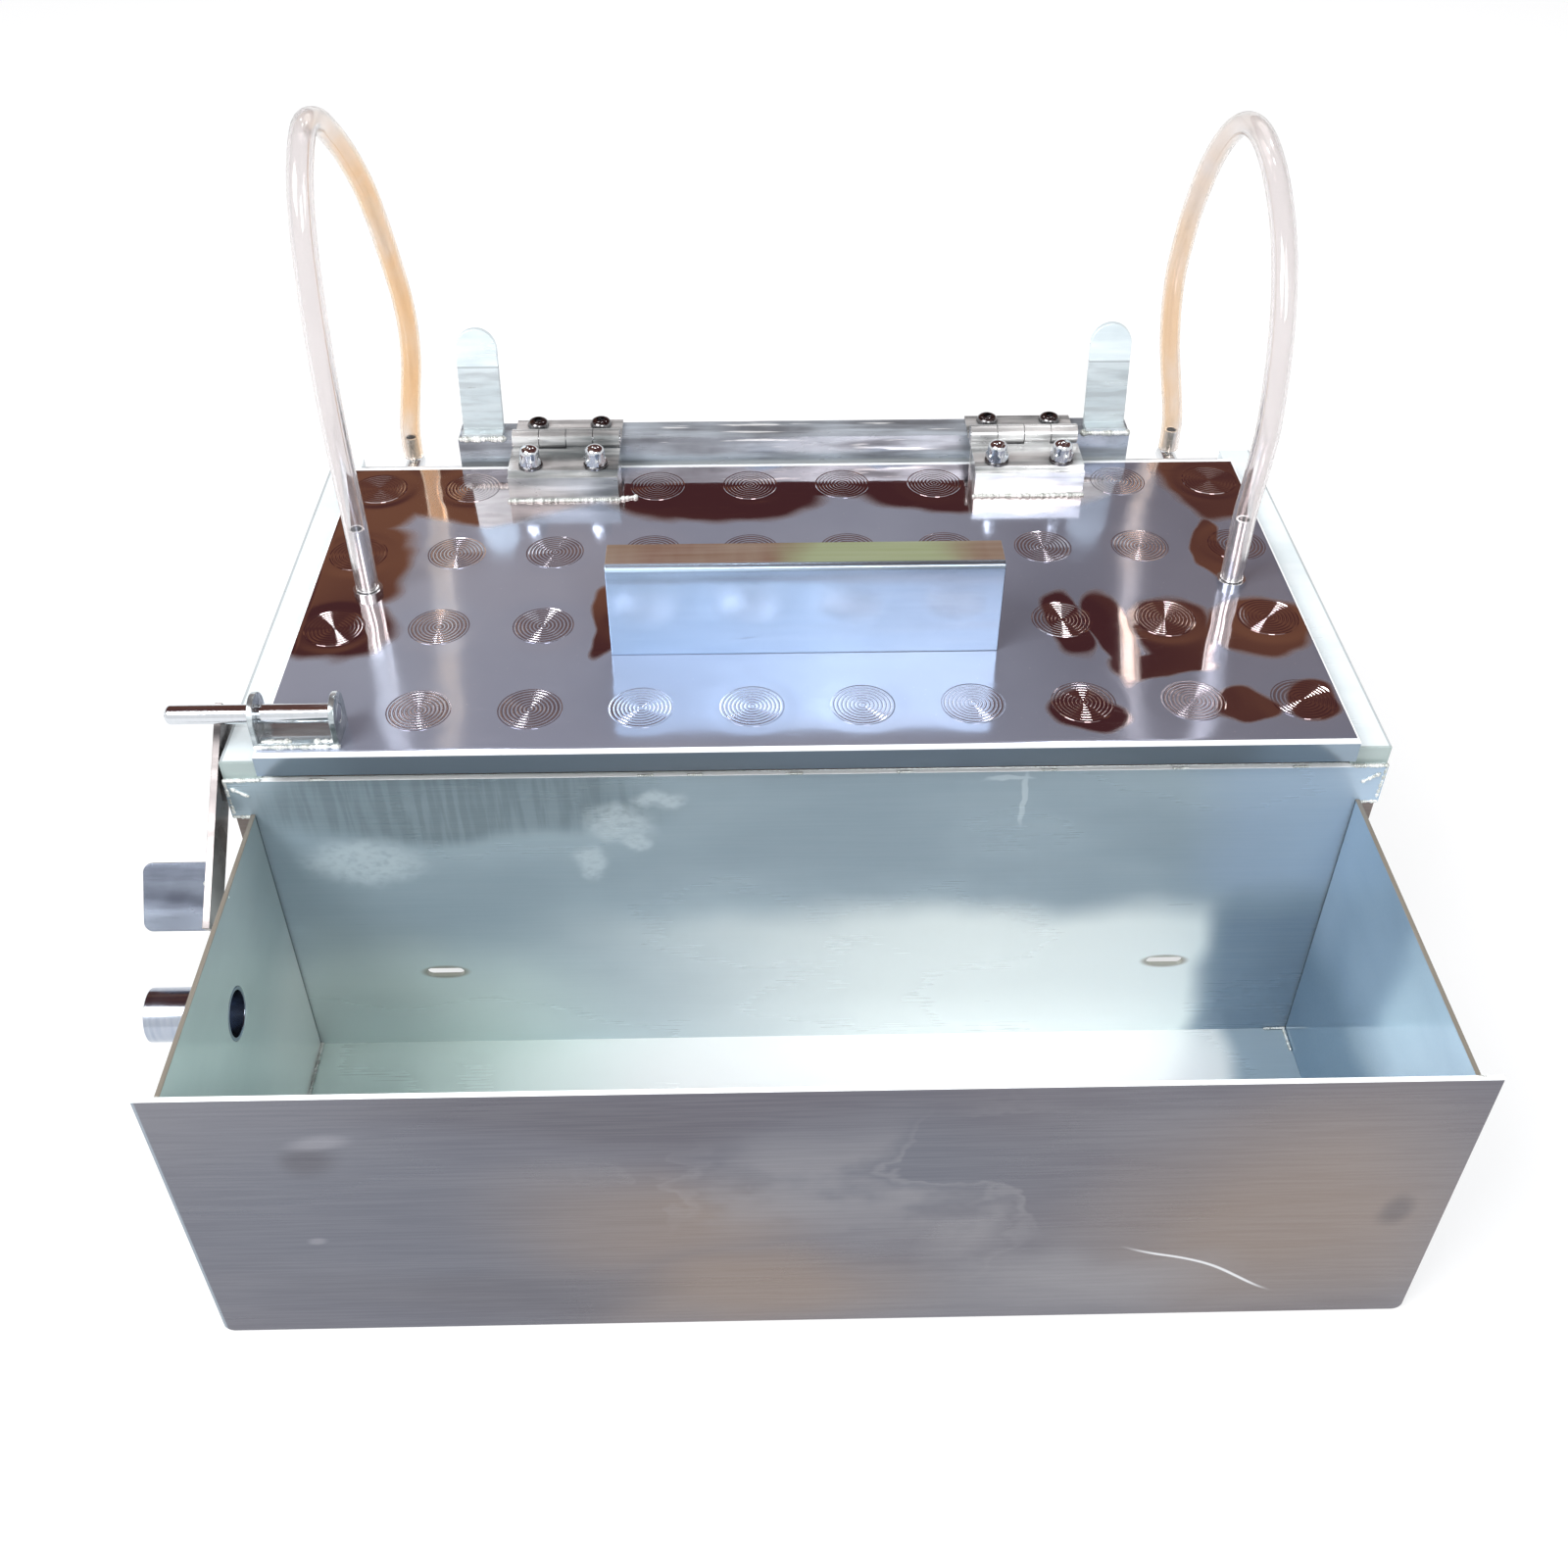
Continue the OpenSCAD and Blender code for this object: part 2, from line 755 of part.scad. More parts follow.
// A flat strip outside the left rail, turning on a pin in the rail's wall
module lifter_lever() {
  color(steel) difference() {
    plate_x(lever_x0, lever_t) translate(pivot_pos) rotate(180 + lever_slope)
      translate([-lever_tail, -lever_w / 2]) square([lever_tail + lever_l, lever_w]);
    rod_x(lever_x0 - past, lever_x1 + past, pivot_pos, pivot_r + pivot_clearance);
  }
}

// A pin peened flush with the lever's outer face
module lever_pivot_pin() {
  color(ground_steel) rod_x(lever_x0, -base_w / 2 + sheet + past, pivot_pos, pivot_r);
}

module lifter_paddle() {
  at = pivot_pos + paddle_at * lever_dir + paddle_lift * lever_up;
  color(steel) translate([lever_x0 - paddle_w / 2, at[0], at[1]]) rotate([paddle_slope, 0, 0])
    translate([0, 0, -paddle_t / 2]) linear_extrude(paddle_t) {
      translate([paddle_w / 4, 0]) square([paddle_w / 2, paddle_d], center = true);
      rounded_outline(paddle_w, paddle_d, corner_r);
    }
}

base_pan();
base_bed_plate();
base_stays();
lower_mould_mat();
side_rail_left();
side_rail_right();
rear_rail();
hinge_bar();
trough_back_panel();
trough_floor();
trough_end_left();
trough_end_right();
front_panel();
overflow_spout();
rear_leg_left();
rear_leg_right();
leg_foot_plates();
lid_stop_left();
lid_stop_right();
hinge_rear_leaf_left();
hinge_rear_leaf_right();
hinge_pin_left();
hinge_pin_right();
rear_hinge_screws();
base_nipple_left();
base_nipple_right();
supply_inlet();
supply_outlet();
lever_pivot_pin();
hose_left();
hose_right();
lid_cover();
lid_face_plate();
upper_mould_mat();
lid_stays();
handle();
hinge_block_left();
hinge_block_right();
hinge_front_leaf_left();
hinge_front_leaf_right();
hinge_studs();
hinge_washers();
acorn_nuts();
lid_nipple_left();
lid_nipple_right();
lifter_bracket();
lifting_rod();
lifter_lever();
lifter_paddle();
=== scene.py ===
# %% [markdown]
# A water-cooled press for beeswax foundation, dressed for its portrait.
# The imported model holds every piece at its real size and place. This lesson gives the pieces their edges,
# welds, relief and finishes, and never moves them. All lengths below are metres unless a name says mm.

# %% The frame
import json
import math

import bmesh
import bpy
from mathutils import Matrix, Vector

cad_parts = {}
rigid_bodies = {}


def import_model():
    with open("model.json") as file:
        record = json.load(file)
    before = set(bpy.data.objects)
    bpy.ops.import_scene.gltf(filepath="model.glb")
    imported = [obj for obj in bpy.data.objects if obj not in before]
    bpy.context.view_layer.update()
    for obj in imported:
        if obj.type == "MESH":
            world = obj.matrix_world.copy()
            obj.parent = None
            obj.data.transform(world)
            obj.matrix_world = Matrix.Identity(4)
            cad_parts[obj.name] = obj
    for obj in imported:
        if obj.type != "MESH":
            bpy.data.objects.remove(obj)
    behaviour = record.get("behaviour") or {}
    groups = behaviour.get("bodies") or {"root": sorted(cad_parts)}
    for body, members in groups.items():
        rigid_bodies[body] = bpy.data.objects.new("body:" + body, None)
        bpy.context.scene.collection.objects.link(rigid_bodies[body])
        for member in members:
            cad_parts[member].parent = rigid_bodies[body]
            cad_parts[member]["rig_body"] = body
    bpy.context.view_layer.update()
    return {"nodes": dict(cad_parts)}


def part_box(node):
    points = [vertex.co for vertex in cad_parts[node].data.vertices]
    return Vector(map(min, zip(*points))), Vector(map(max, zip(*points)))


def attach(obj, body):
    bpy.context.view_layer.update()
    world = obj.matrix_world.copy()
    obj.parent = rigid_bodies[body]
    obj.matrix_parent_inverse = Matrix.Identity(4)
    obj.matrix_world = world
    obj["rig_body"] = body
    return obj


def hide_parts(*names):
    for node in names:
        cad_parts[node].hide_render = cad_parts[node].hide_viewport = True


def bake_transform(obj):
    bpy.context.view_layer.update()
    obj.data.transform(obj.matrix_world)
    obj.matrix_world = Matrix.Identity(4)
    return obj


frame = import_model()
MM = 0.001
scene = bpy.context.scene
scene.view_settings.view_transform = "Standard"


def box_mm(node):
    """The lowest and the highest corner of a CAD node, in mm."""
    return [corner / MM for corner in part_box(node)]


# %% [markdown]
# The camera stands where the photographer stood: a step in front of the press, looking down on the lid.
# A focal length in pixels of a square picture turns into a lens for Blender's 36 mm sensor.

# %% Camera
PICTURE_PX = 1600
FOCAL_PX = 1638.5
LOOK_DOWN_DEG = 40.87
LOOK_RIGHT_DEG = 1.19
CAMERA_MM = Vector((-20.8, -431.7, 600.3))

camera_data = bpy.data.cameras.new("camera")
camera_data.sensor_width = 36
camera_data.lens = camera_data.sensor_width * FOCAL_PX / PICTURE_PX
camera = bpy.data.objects.new("camera", camera_data)
camera.location = CAMERA_MM * MM
camera.rotation_euler = (math.radians(90 - LOOK_DOWN_DEG), 0, -math.radians(LOOK_RIGHT_DEG))
scene.collection.objects.link(camera)
scene.camera = camera
print("camera: lens", round(camera_data.lens, 2), "mm")

# %% [markdown]
# Shader maths reads best as plain expressions. A Wire wraps an output socket, and a sum or product of wires
# adds a Math node. A Net adds any other node to a shader or a geometry tree through one method, and has two
# short cuts for the nodes that are needed most: a smooth step and a mix of two colours.

# %% Wires and nets
class Wire:
    """An output socket that can be used in sums and products."""

    def __init__(self, net, socket):
        self.net = net
        self.socket = socket

    def math(self, operation, other=None, swap=False):
        pair = [other, self] if swap else [self, other]
        return self.net.node("ShaderNodeMath", {"operation": operation}, pair)

    def __add__(self, other):
        return self.math("ADD", other)

    def __sub__(self, other):
        return self.math("SUBTRACT", other)

    def __rsub__(self, other):
        return self.math("SUBTRACT", other, swap=True)

    def __mul__(self, other):
        return self.math("MULTIPLY", other)

    def __or__(self, other):
        return self.math("MAXIMUM", other)

    __radd__ = __add__
    __rmul__ = __mul__
    __ror__ = __or__


class Net:
    """Adds nodes to a tree."""

    def __init__(self, tree):
        self.tree = tree

    def feed(self, socket, value):
        if isinstance(value, Wire):
            self.tree.links.new(value.socket, socket)
        elif value is not None:
            socket.default_value = value

    def node(self, kind, settings=None, inputs=(), out=0):
        made = self.tree.nodes.new(kind)
        for name, value in (settings or {}).items():
            setattr(made, name, value)
        pairs = inputs.items() if isinstance(inputs, dict) else enumerate(inputs)
        for key, value in pairs:
            self.feed(made.inputs[key], value)
        return Wire(self, made.outputs[out])

    def step(self, value, low, high):
        """0 where value is at low, 1 where it is at high, and smooth between."""
        return self.node("ShaderNodeMapRange", {"interpolation_type": "SMOOTHSTEP"}, [value, low, high])

    def mix(self, factor, a, b):
        """Colour a where factor is 0 and colour b where it is 1."""
        shades = [value if isinstance(value, Wire) else (*value, 1) for value in (a, b)]
        inputs = {0: factor, 6: shades[0], 7: shades[1]}
        return self.node("ShaderNodeMix", {"data_type": "RGBA"}, inputs, out=2)


print("nets: ready")

# %% [markdown]
# A Finish is one material. It starts from a Principled shader and Object coordinates, which stay put on the
# metal whatever the view. Its few methods are the strokes that every finish below is painted with, and it
# keeps the shade that they have made so far.

# %% Finishes
class Finish(Net):
    """One material: a Principled shader and the strokes that vary it over a surface."""

    def __init__(self, name, metallic=1.0, roughness=0.3):
        self.material = bpy.data.materials.new(name)
        self.material.use_nodes = True
        super().__init__(self.material.node_tree)
        self.shader = self.tree.nodes["Principled BSDF"]
        self.place = self.node("ShaderNodeTexCoord", out="Object")
        self.shade = None
        self.set(Metallic=metallic, Roughness=roughness)

    def set(self, **sockets):
        for name, value in sockets.items():
            self.feed(self.shader.inputs[name.replace("_", " ")], value)
        return self

    def vector(self, operation, a, b, out=0):
        return self.node("ShaderNodeVectorMath", {"operation": operation}, [a, b], out)

    def axis(self, letter, place=None):
        return self.node("ShaderNodeSeparateXYZ", inputs=[place or self.place], out="XYZ".index(letter))

    def noise(self, scale, stretch=(1, 1, 1), turn=0.0, detail=4.0, shift=0.0):
        mapped = self.node("ShaderNodeMapping", inputs={
            "Vector": self.place, "Rotation": (0, 0, math.radians(turn)), "Scale": stretch,
            "Location": (shift, shift, shift)})
        return self.node("ShaderNodeTexNoise", inputs={"Vector": mapped, "Scale": scale, "Detail": detail})

    def warp(self, scale, amount):
        """Object coordinates pushed about by noise, for hand-made outlines."""
        cloud = self.node("ShaderNodeTexNoise", inputs={"Vector": self.place, "Scale": scale}, out=1)
        centred = self.vector("SUBTRACT", cloud, (0.5, 0.5, 0.5))
        return self.vector("ADD", self.place, self.vector("MULTIPLY", centred, (amount, amount, amount)))

    def ramp(self, letter, low, high, place=None):
        """A step along one axis."""
        return self.step(self.axis(letter, place), low, high)

    def cloud(self, scale, low, high, **how):
        """A step through noise, which leaves soft patches."""
        return self.step(self.noise(scale, **how), low, high)

    def spots(self, place, ovals, plane="XZ", soft=0.3):
        """1 inside any of the ovals and 0 outside. An oval is its centre and then its reach, in mm."""
        total = None
        for oval in ovals:
            centre, scale = [0, 0, 0], [0, 0, 0]
            for letter, middle, reach in zip(plane, oval, oval[len(plane):]):
                centre["XYZ".index(letter)] = middle * MM
                scale["XYZ".index(letter)] = 1 / (reach * MM)
            share = self.vector("MULTIPLY", self.vector("SUBTRACT", place, centre), scale)
            mask = self.step(self.vector("LENGTH", share, None, out="Value"), 1 + soft, 1 - soft)
            total = total | mask if total else mask
        return total

    def paint(self, share, colour):
        """Lays a share of a colour over the shade that the finish has so far."""
        self.shade = self.mix(share, self.shade, colour)

    def dab(self, strength, colour, place, ovals, soft=0.3):
        """Paints a colour inside some ovals."""
        self.paint(strength * self.spots(place, ovals, soft=soft), colour)

    def bump(self, height, strength, distance):
        normal = self.node("ShaderNodeBump", inputs={
            "Strength": strength, "Distance": distance, "Height": height})
        return self.set(Normal=normal)


print("finishes: ready")

# %% [markdown]
# The two hoses are clear plastic tube that joins the water spaces of the lid and the base. Each is one bored
# tube, swept along listed points that start at the foot of the lid's nipple. A curve object with a
# bevel could draw it too, but a mesh has a bore to see through.

# %% Hose shape
HOSE_RADIUS = 5.25 * MM
HOSE_BORE = 3.95 * MM
HOSE_SIDES = 24
HOSE_STEPS = 5
CREASE_DEG = 50
LEFT_ROUTE_MM = [
    (0, 0, 3), (0, 0, 20), (0, 0, 37), (0, -1, 58), (0, -2, 80), (0, -1.5, 102), (0, 0.5, 124),
    (0, 4.5, 146), (0, 11, 166), (0, 22.5, 183.5), (0, 40, 194), (0, 60, 190.5), (0, 77.5, 180),
    (0, 94, 167.5), (0, 109, 154), (0, 123, 139), (0, 135, 122), (0, 145.5, 104), (0, 155, 86),
    (0, 163, 67), (1, 169.5, 48), (3, 173, 29), (6, 172, 10), (7.7, 167.5, -4), (8, 165, -13),
    (8, 165, -22)]
RIGHT_ROUTE_MM = [
    (0, 0, 3), (0, 0, 20), (0, 0, 37), (0, -3.5, 58), (0, -6, 80), (0, -3, 100), (0, 2.5, 119),
    (0, 11.5, 136.5), (0, 24, 151.5), (0, 40, 163), (0, 58, 171), (0, 77.5, 175), (0, 97, 173.5),
    (0, 115.5, 166.5), (0, 132, 155), (0, 146, 141), (0, 157.5, 125), (0, 167, 108), (0, 174, 89),
    (0, 178, 70), (1, 178.5, 50), (3, 176, 30), (6, 171, 10), (7.7, 166.5, -4), (8, 165, -13),
    (8, 165, -22)]


def smooth_path(points, steps):
    """Points along a smooth curve through all of the given points."""
    padded = [2 * points[0] - points[1], *points, 2 * points[-1] - points[-2]]
    path = []
    for a, b, c, d in zip(padded, padded[1:], padded[2:], padded[3:]):
        for i in range(steps):
            t = i / steps
            bend = (2 * a - 5 * b + 4 * c - d) * t * t + (3 * b - a - 3 * c + d) * t ** 3
            path.append((2 * b + (c - a) * t + bend) / 2)
    return path + [points[-1]]


def new_piece(name, bm):
    """A finished object at the origin from a bmesh."""
    mesh = bpy.data.meshes.new(name)
    bm.to_mesh(mesh)
    bm.free()
    piece = bpy.data.objects.new(name, mesh)
    scene.collection.objects.link(piece)
    return piece


def smooth(piece, crease_deg):
    """Smooth shading, except where faces meet at more than an angle."""
    piece.data.shade_smooth()
    piece.data.set_sharp_from_angle(angle=math.radians(crease_deg))
    return piece


def full_turn(sides):
    return [2 * math.pi * k / sides for k in range(sides)]


def around(count):
    """Every index with the one after it, round a closed ring."""
    return [(k, (k + 1) % count) for k in range(count)]


def sweep_tube(name, path, outer, bore):
    """A closed bored tube along a path that lies close to the y-z plane, with a UV map along it."""
    bm = bmesh.new()
    uv = bm.loops.layers.uv.new("along")
    rings = {}
    for i, point in enumerate(path):
        ahead = (path[min(i + 1, len(path) - 1)] - path[max(i - 1, 0)]).normalized()
        up = ahead.cross(Vector((1, 0, 0))).normalized()
        across = up.cross(ahead)
        for wall, radius in (("outer", outer), ("bore", bore)):
            rings[wall, i] = [bm.verts.new(point + radius * (math.cos(t) * across + math.sin(t) * up))
                              for t in full_turn(HOSE_SIDES)]

    def band(first, second, v0, v1):
        for k, m in around(HOSE_SIDES):
            face = bm.faces.new((first[k], first[m], second[m], second[k]))
            corners = ((k, v0), (k + 1, v0), (k + 1, v1), (k, v1))
            for loop, (u, v) in zip(face.loops, corners):
                loop[uv].uv = (u / HOSE_SIDES, v)

    last = len(path) - 1
    for i in range(last):
        for wall in ("outer", "bore"):
            band(rings[wall, i], rings[wall, i + 1], i / last, (i + 1) / last)
    for i in (0, last):
        band(rings["outer", i], rings["bore", i], i / last, i / last)
    bmesh.ops.recalc_face_normals(bm, faces=bm.faces)
    return smooth(new_piece(name, bm), CREASE_DEG)


# %% [markdown]
# Clear tube is never quite clear: it is a little milky, and hot wax has stained the rear half of each hose
# amber. Light passes through a tinted Principled shader, and the stain follows the tube's own UV map.

# %% Hose finish
CLEAR_PLASTIC = (0.90, 0.87, 0.87)
AMBER_STAIN = (0.93, 0.74, 0.54)


def hose_finish(name, stain_from, stain_to):
    finish = Finish(name, metallic=0.0, roughness=0.06)
    along = finish.axis("Y", finish.node("ShaderNodeTexCoord", out="UV"))
    stain = finish.step(along, stain_from, stain_to) * finish.cloud(60, 0.2, 0.6, stretch=(1, 1, 0.3))
    finish.set(Base_Color=finish.mix(stain, CLEAR_PLASTIC, AMBER_STAIN), Transmission_Weight=0.93, IOR=1.45)
    return finish.material


# %% [markdown]
# Each hose starts at the foot of its lid nipple and arches over to hang behind the press without cutting
# the lid, and the CAD hose is hidden. The two numbers of each stain set where along the tube the amber
# begins to grow, and where it is complete.


def hose(side, route, stain):
    low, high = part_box(f"lid_nipple_{side}")
    foot = Vector(((low.x + high.x) / 2, (low.y + high.y) / 2, low.z))
    outwards = math.copysign(1, foot.x)
    points = [foot + MM * Vector((outwards * x, y, z)) for x, y, z in route]
    path = smooth_path(points, HOSE_STEPS)
    length = sum((b - a).length for a, b in zip(path, path[1:]))
    piece = sweep_tube(f"clear_hose_{side}", path, HOSE_RADIUS, HOSE_BORE)
    piece.data.materials.append(hose_finish(f"clear_hose_{side}", *stain))
    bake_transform(piece)
    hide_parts(f"hose_{side}")
    print("hose", side, "length", round(length, 3), "m")


hose("left", LEFT_ROUTE_MM, (0.40, 0.56))
hose("right", RIGHT_ROUTE_MM, (0.35, 1.0))

# %% [markdown]
# The stage is a pale floor in soft light. The world shows white to the camera, to polished metal and through
# clear plastic, and lights matt surfaces a little less. The floor mixes in some plain white for those rays.

# %% Stage and light
WORLD_LEVEL = 0.72
FLOOR_COLOUR = (0.92, 0.92, 0.93, 1)
FLOOR_WHITE_SHARE = 0.62
FLOOR_REACH = 20


def seen_directly(net):
    """1 for rays that show the background: camera, polished metal and clear plastic."""
    path = net.tree.nodes.new("ShaderNodeLightPath")
    kinds = ("Is Camera Ray", "Is Glossy Ray", "Is Transmission Ray")
    wires = [Wire(net, path.outputs[kind]) for kind in kinds]
    return wires[0] | wires[1] | wires[2]


world = bpy.data.worlds.new("studio")
scene.world = world
world.use_nodes = True
sky = Net(world.node_tree)
sky.feed(world.node_tree.nodes["Background"].inputs["Color"], (1, 1, 1, 1))
sky.feed(world.node_tree.nodes["Background"].inputs["Strength"],
         WORLD_LEVEL + (1 - WORLD_LEVEL) * seen_directly(sky))


def bare_material(name, surface):
    """A material without the Principled shader. A function of its net makes its surface."""
    material = bpy.data.materials.new(name)
    material.use_nodes = True
    net = Net(material.node_tree)
    net.tree.nodes.remove(net.tree.nodes["Principled BSDF"])
    net.feed(net.tree.nodes["Material Output"].inputs["Surface"], surface(net))
    return material


def plate(name, material, reach, centre=(0, 0, 0)):
    """A flat square of the stage."""
    bm = bmesh.new()
    bmesh.ops.create_grid(bm, x_segments=1, y_segments=1, size=reach)
    bmesh.ops.translate(bm, verts=bm.verts, vec=centre)
    piece = new_piece(name, bm)
    piece.data.materials.append(material)
    return piece


def floor_surface(net):
    matt = net.node("ShaderNodeBsdfDiffuse", inputs={"Color": FLOOR_COLOUR})
    glow = net.node("ShaderNodeEmission", inputs={"Color": (1, 1, 1, 1), "Strength": 1.0})
    return net.node("ShaderNodeMixShader", inputs=[FLOOR_WHITE_SHARE * seen_directly(net), matt, glow])


floor = plate("floor", bare_material("floor", floor_surface), FLOOR_REACH)


def softbox(name, place, size, power, mirrored=True):
    lamp = bpy.data.lights.new(name, "AREA")
    lamp.size = size
    lamp.energy = power
    box = bpy.data.objects.new(name, lamp)
    box.location = place
    box.rotation_euler = (PRESS_MIDDLE - Vector(place)).to_track_quat("-Z", "Y").to_euler()
    box.visible_glossy = mirrored
    scene.collection.objects.link(box)


PRESS_MIDDLE = Vector((0, 0.12, 0.15))
softbox("key", (-1.3, -0.9, 1.9), 1.2, 44)
softbox("fill", (0.45, -1.7, 1.63), 0.7, 15)
softbox("rear", (0.3, 1.6, 1.5), 1.0, 8, mirrored=False)
softbox("window_left", (-0.55, 1.5, 1.9), 0.14, 1.3)
softbox("window_right", (0.55, 1.5, 1.9), 0.14, 1.3)
softbox("skylight", (0.0, 1.15, 2.25), 0.14, 1.3)
print("stage: floor, world and six softboxes")

# %% [markdown]
# A polished lid shows what hangs above it. The workshop's dark timber ceiling is one large card that only
# mirror-like metal can see: the camera, the shadows and the matt surfaces pass it by. It starts above the
# operator and runs to the rear, so that faces which look forwards still mirror the bright room.

# %% Dark ceiling card
CEILING_HEIGHT = 2.4
CEILING_REACH = 5.5
CEILING_BACK = 4.0
TIMBER_DARK = (0.085, 0.032, 0.036)
TIMBER_LIGHT = (0.24, 0.115, 0.07)


def card_surface(net):
    place = net.node("ShaderNodeTexCoord", out="Object")
    boards = net.node("ShaderNodeTexNoise", inputs={"Vector": place, "Scale": 0.9, "Detail": 2.0})
    timber = net.mix(net.step(boards, 0.45, 0.7), TIMBER_DARK, TIMBER_LIGHT)
    return net.node("ShaderNodeEmission", inputs={"Color": timber, "Strength": 1.0})


card = plate("ceiling_card", bare_material("ceiling_card", card_surface), CEILING_REACH,
             (0, CEILING_BACK, CEILING_HEIGHT))
card.visible_camera = False
card.visible_diffuse = False
card.visible_shadow = False
card.visible_transmission = False
print("ceiling card:", 2 * CEILING_REACH, "m wide at", CEILING_HEIGHT, "m")

# %% [markdown]
# Stainless sheet comes from the mill with a cloudy bloom and very fine rolling lines. One function paints
# them, and each panel of the press then gets its own shades: its own wear and wax, and painted light, shade
# and reflections.
# A film of wax makes most of the sheet less metallic than new steel would be.

# %% Sheet finishes
PAINTED_EDGE_HIGHLIGHT = (0.95, 0.98, 1.0)
DULL_EDGE = (0.21, 0.19, 0.16)
ROLLED_LINE = (0.9, 0.92, 0.93)
EDGE_BLUR = 0.0002


def rolled_sheet(name, dark, light, roughness=0.30, metallic=0.8, cloud=(9, 0.0), marks=None, edge=None):
    """Cloudy sheet. An edge is the height where the sheet was sheared off, and the colour painted above it,
    which on bright edges is a painted highlight.
    """
    finish = Finish(name, metallic=metallic)
    scale, shift = cloud
    bloom = finish.cloud(scale, 0.32, 0.68, stretch=(0.6, 0.6, 1.3), shift=shift)
    lines = finish.noise(1400, stretch=(0.02, 1, 1), detail=2.0)
    finish.shade = finish.mix(bloom, dark, light)
    if marks:
        marks(finish)
    finish.paint(0.03 * finish.step(lines, 0.35, 0.65), ROLLED_LINE)
    if edge:
        # Above the edge height the colour is painted on and the metal goes: a painted highlight on bright
        # edges.
        cut = finish.ramp("Z", edge[0], edge[0] + EDGE_BLUR)
        finish.paint(cut, edge[1])
        finish.set(Metallic=metallic * (1 - cut))
    finish.set(Base_Color=finish.shade)
    finish.set(Roughness=roughness - 0.3 * roughness * bloom + 0.03 * lines)
    finish.bump(lines, 0.008, 0.0003)
    return finish.material


WALL_GREY = (0.33, 0.43, 0.50)
WALL_PALE = (0.46, 0.58, 0.65)
GREEN_WALL = (0.74, 0.88, 0.85)
WAX_FILM = (0.74, 0.86, 0.92)
SLOT_WAX_AND_SHADE = (0.22, 0.18, 0.11)
SHADED_BROWN = (0.16, 0.125, 0.11)
SMEARS = [(-192, 121, 24, 11), (-81, 142, 13, 10), (-94, 119, 6, 9), (-62, 155, 9, 5), (-75, 130, 6, 5)]
DRIP = [(91, 152, 1.5, 14), (84, 163, 10, 1.2)]
SLOTS = [(-166, 51, 10.5, 4), (166, 51, 10.5, 4)]


def wall_marks(finish):
    """The back wall: a bright lower band of painted reflection, painted shade at the right end and on the
    brown strip outside, and smears of wax.
    """
    place = finish.warp(14, 0.03)
    x, z = finish.axis("X", place), finish.axis("Z", place)
    # Painted reflection of the lit floor, pale green, at the lower left.
    finish.dab(0.8, GREEN_WALL, place, [(-195, 20, 85, 45)], soft=0.6)
    # Painted shade, bluer, at the right end above the band.
    blue = finish.step(x, 0.15, 0.19) * finish.step(z, 0.085, 0.11)
    finish.paint(0.6 * blue, (0.40, 0.53, 0.70))
    # Painted reflection of the lit floor: the bright band low down.
    glow = finish.step(x, -0.16, 0.09) * finish.step(x, 0.190, 0.176) * finish.step(z, 0.096, 0.070)
    finish.paint(glow, (0.90, 1.0, 1.0))
    # Painted shade, darker, in the lower right corner.
    corner = finish.step(x, 0.178, 0.196) * finish.step(z, 0.11, 0.075)
    finish.paint(0.85 * corner, (0.20, 0.285, 0.38))
    dark_top = finish.spots(place, [(-150, 153, 85, 20)])
    ribs = finish.cloud(300, 0.4, 0.6, stretch=(1, 1, 0.08), turn=20, shift=2.0)
    finish.paint(dark_top * (0.5 + 0.2 * ribs), (0.15, 0.20, 0.23))
    smears = finish.spots(finish.warp(90, 0.012), SMEARS, soft=0.5)
    brushed = finish.cloud(420, 0.25, 0.6, stretch=(0.6, 1, 1), turn=20)
    finish.paint(0.55 * smears * (0.4 + 0.6 * brushed), WAX_FILM)
    finish.dab(0.5, WAX_FILM, finish.warp(60, 0.01), DRIP)
    # The slots are painted amber for their wax and dark for the shade inside them.
    finish.dab(0.7, SLOT_WAX_AND_SHADE, finish.place, SLOTS, soft=0.2)
    # Painted shade, brown, on the strip outside the trough's ends.
    outside = finish.step(finish.axis("X").math("ABSOLUTE"), 0.2335, 0.2345)
    finish.paint(outside * finish.ramp("Z", 0.1485, 0.1475), SHADED_BROWN)


def floor_marks(finish):
    """The trough's floor has a painted pool of light in its middle, and painted shade, grey, at the right."""
    # A painted pool of light.
    bright = finish.spots(finish.warp(12, 0.04), [(60, 10, 170, 120)], "XY", soft=0.4)
    finish.paint(bright, (1.0, 1.0, 1.0))
    # Painted shade at the right end.
    right = finish.ramp("X", 0.192, 0.206, finish.warp(10, 0.03))
    finish.paint(right, (0.36, 0.46, 0.53))


def corner_seam(finish):
    """The dark seam where an end wall meets the back wall."""
    finish.paint(0.9 * finish.ramp("Y", 0.0722, 0.0732), (0.06, 0.075, 0.08))


def left_marks(finish):
    """The left end wall is darker at the top rear and has a painted reflection of the floor at its foot."""
    rear = finish.ramp("Y", 0.02, 0.07) * finish.ramp("Z", 0.07, 0.13)
    finish.paint(0.4 * rear, (0.20, 0.26, 0.28))
    # Painted reflection of the floor, bright, at the foot.
    foot = finish.ramp("Y", -0.02, 0.05) * finish.ramp("Z", 0.10, 0.05)
    finish.paint(0.8 * foot, (0.98, 1.0, 0.98))
    corner_seam(finish)


def right_marks(finish):
    """The right end wall lies in shade: blue above, nearly slate below, and pale along its seam."""
    place = finish.warp(12, 0.03)
    low_part = finish.ramp("Z", 0.095, 0.06, place)
    finish.paint(0.65 * low_part, (0.17, 0.27, 0.37))
    pale = finish.ramp("Y", 0.035, 0.068, place) * finish.ramp("Z", 0.05, 0.09, place)
    finish.paint(0.5 * pale, (0.56, 0.72, 0.88))
    corner_seam(finish)
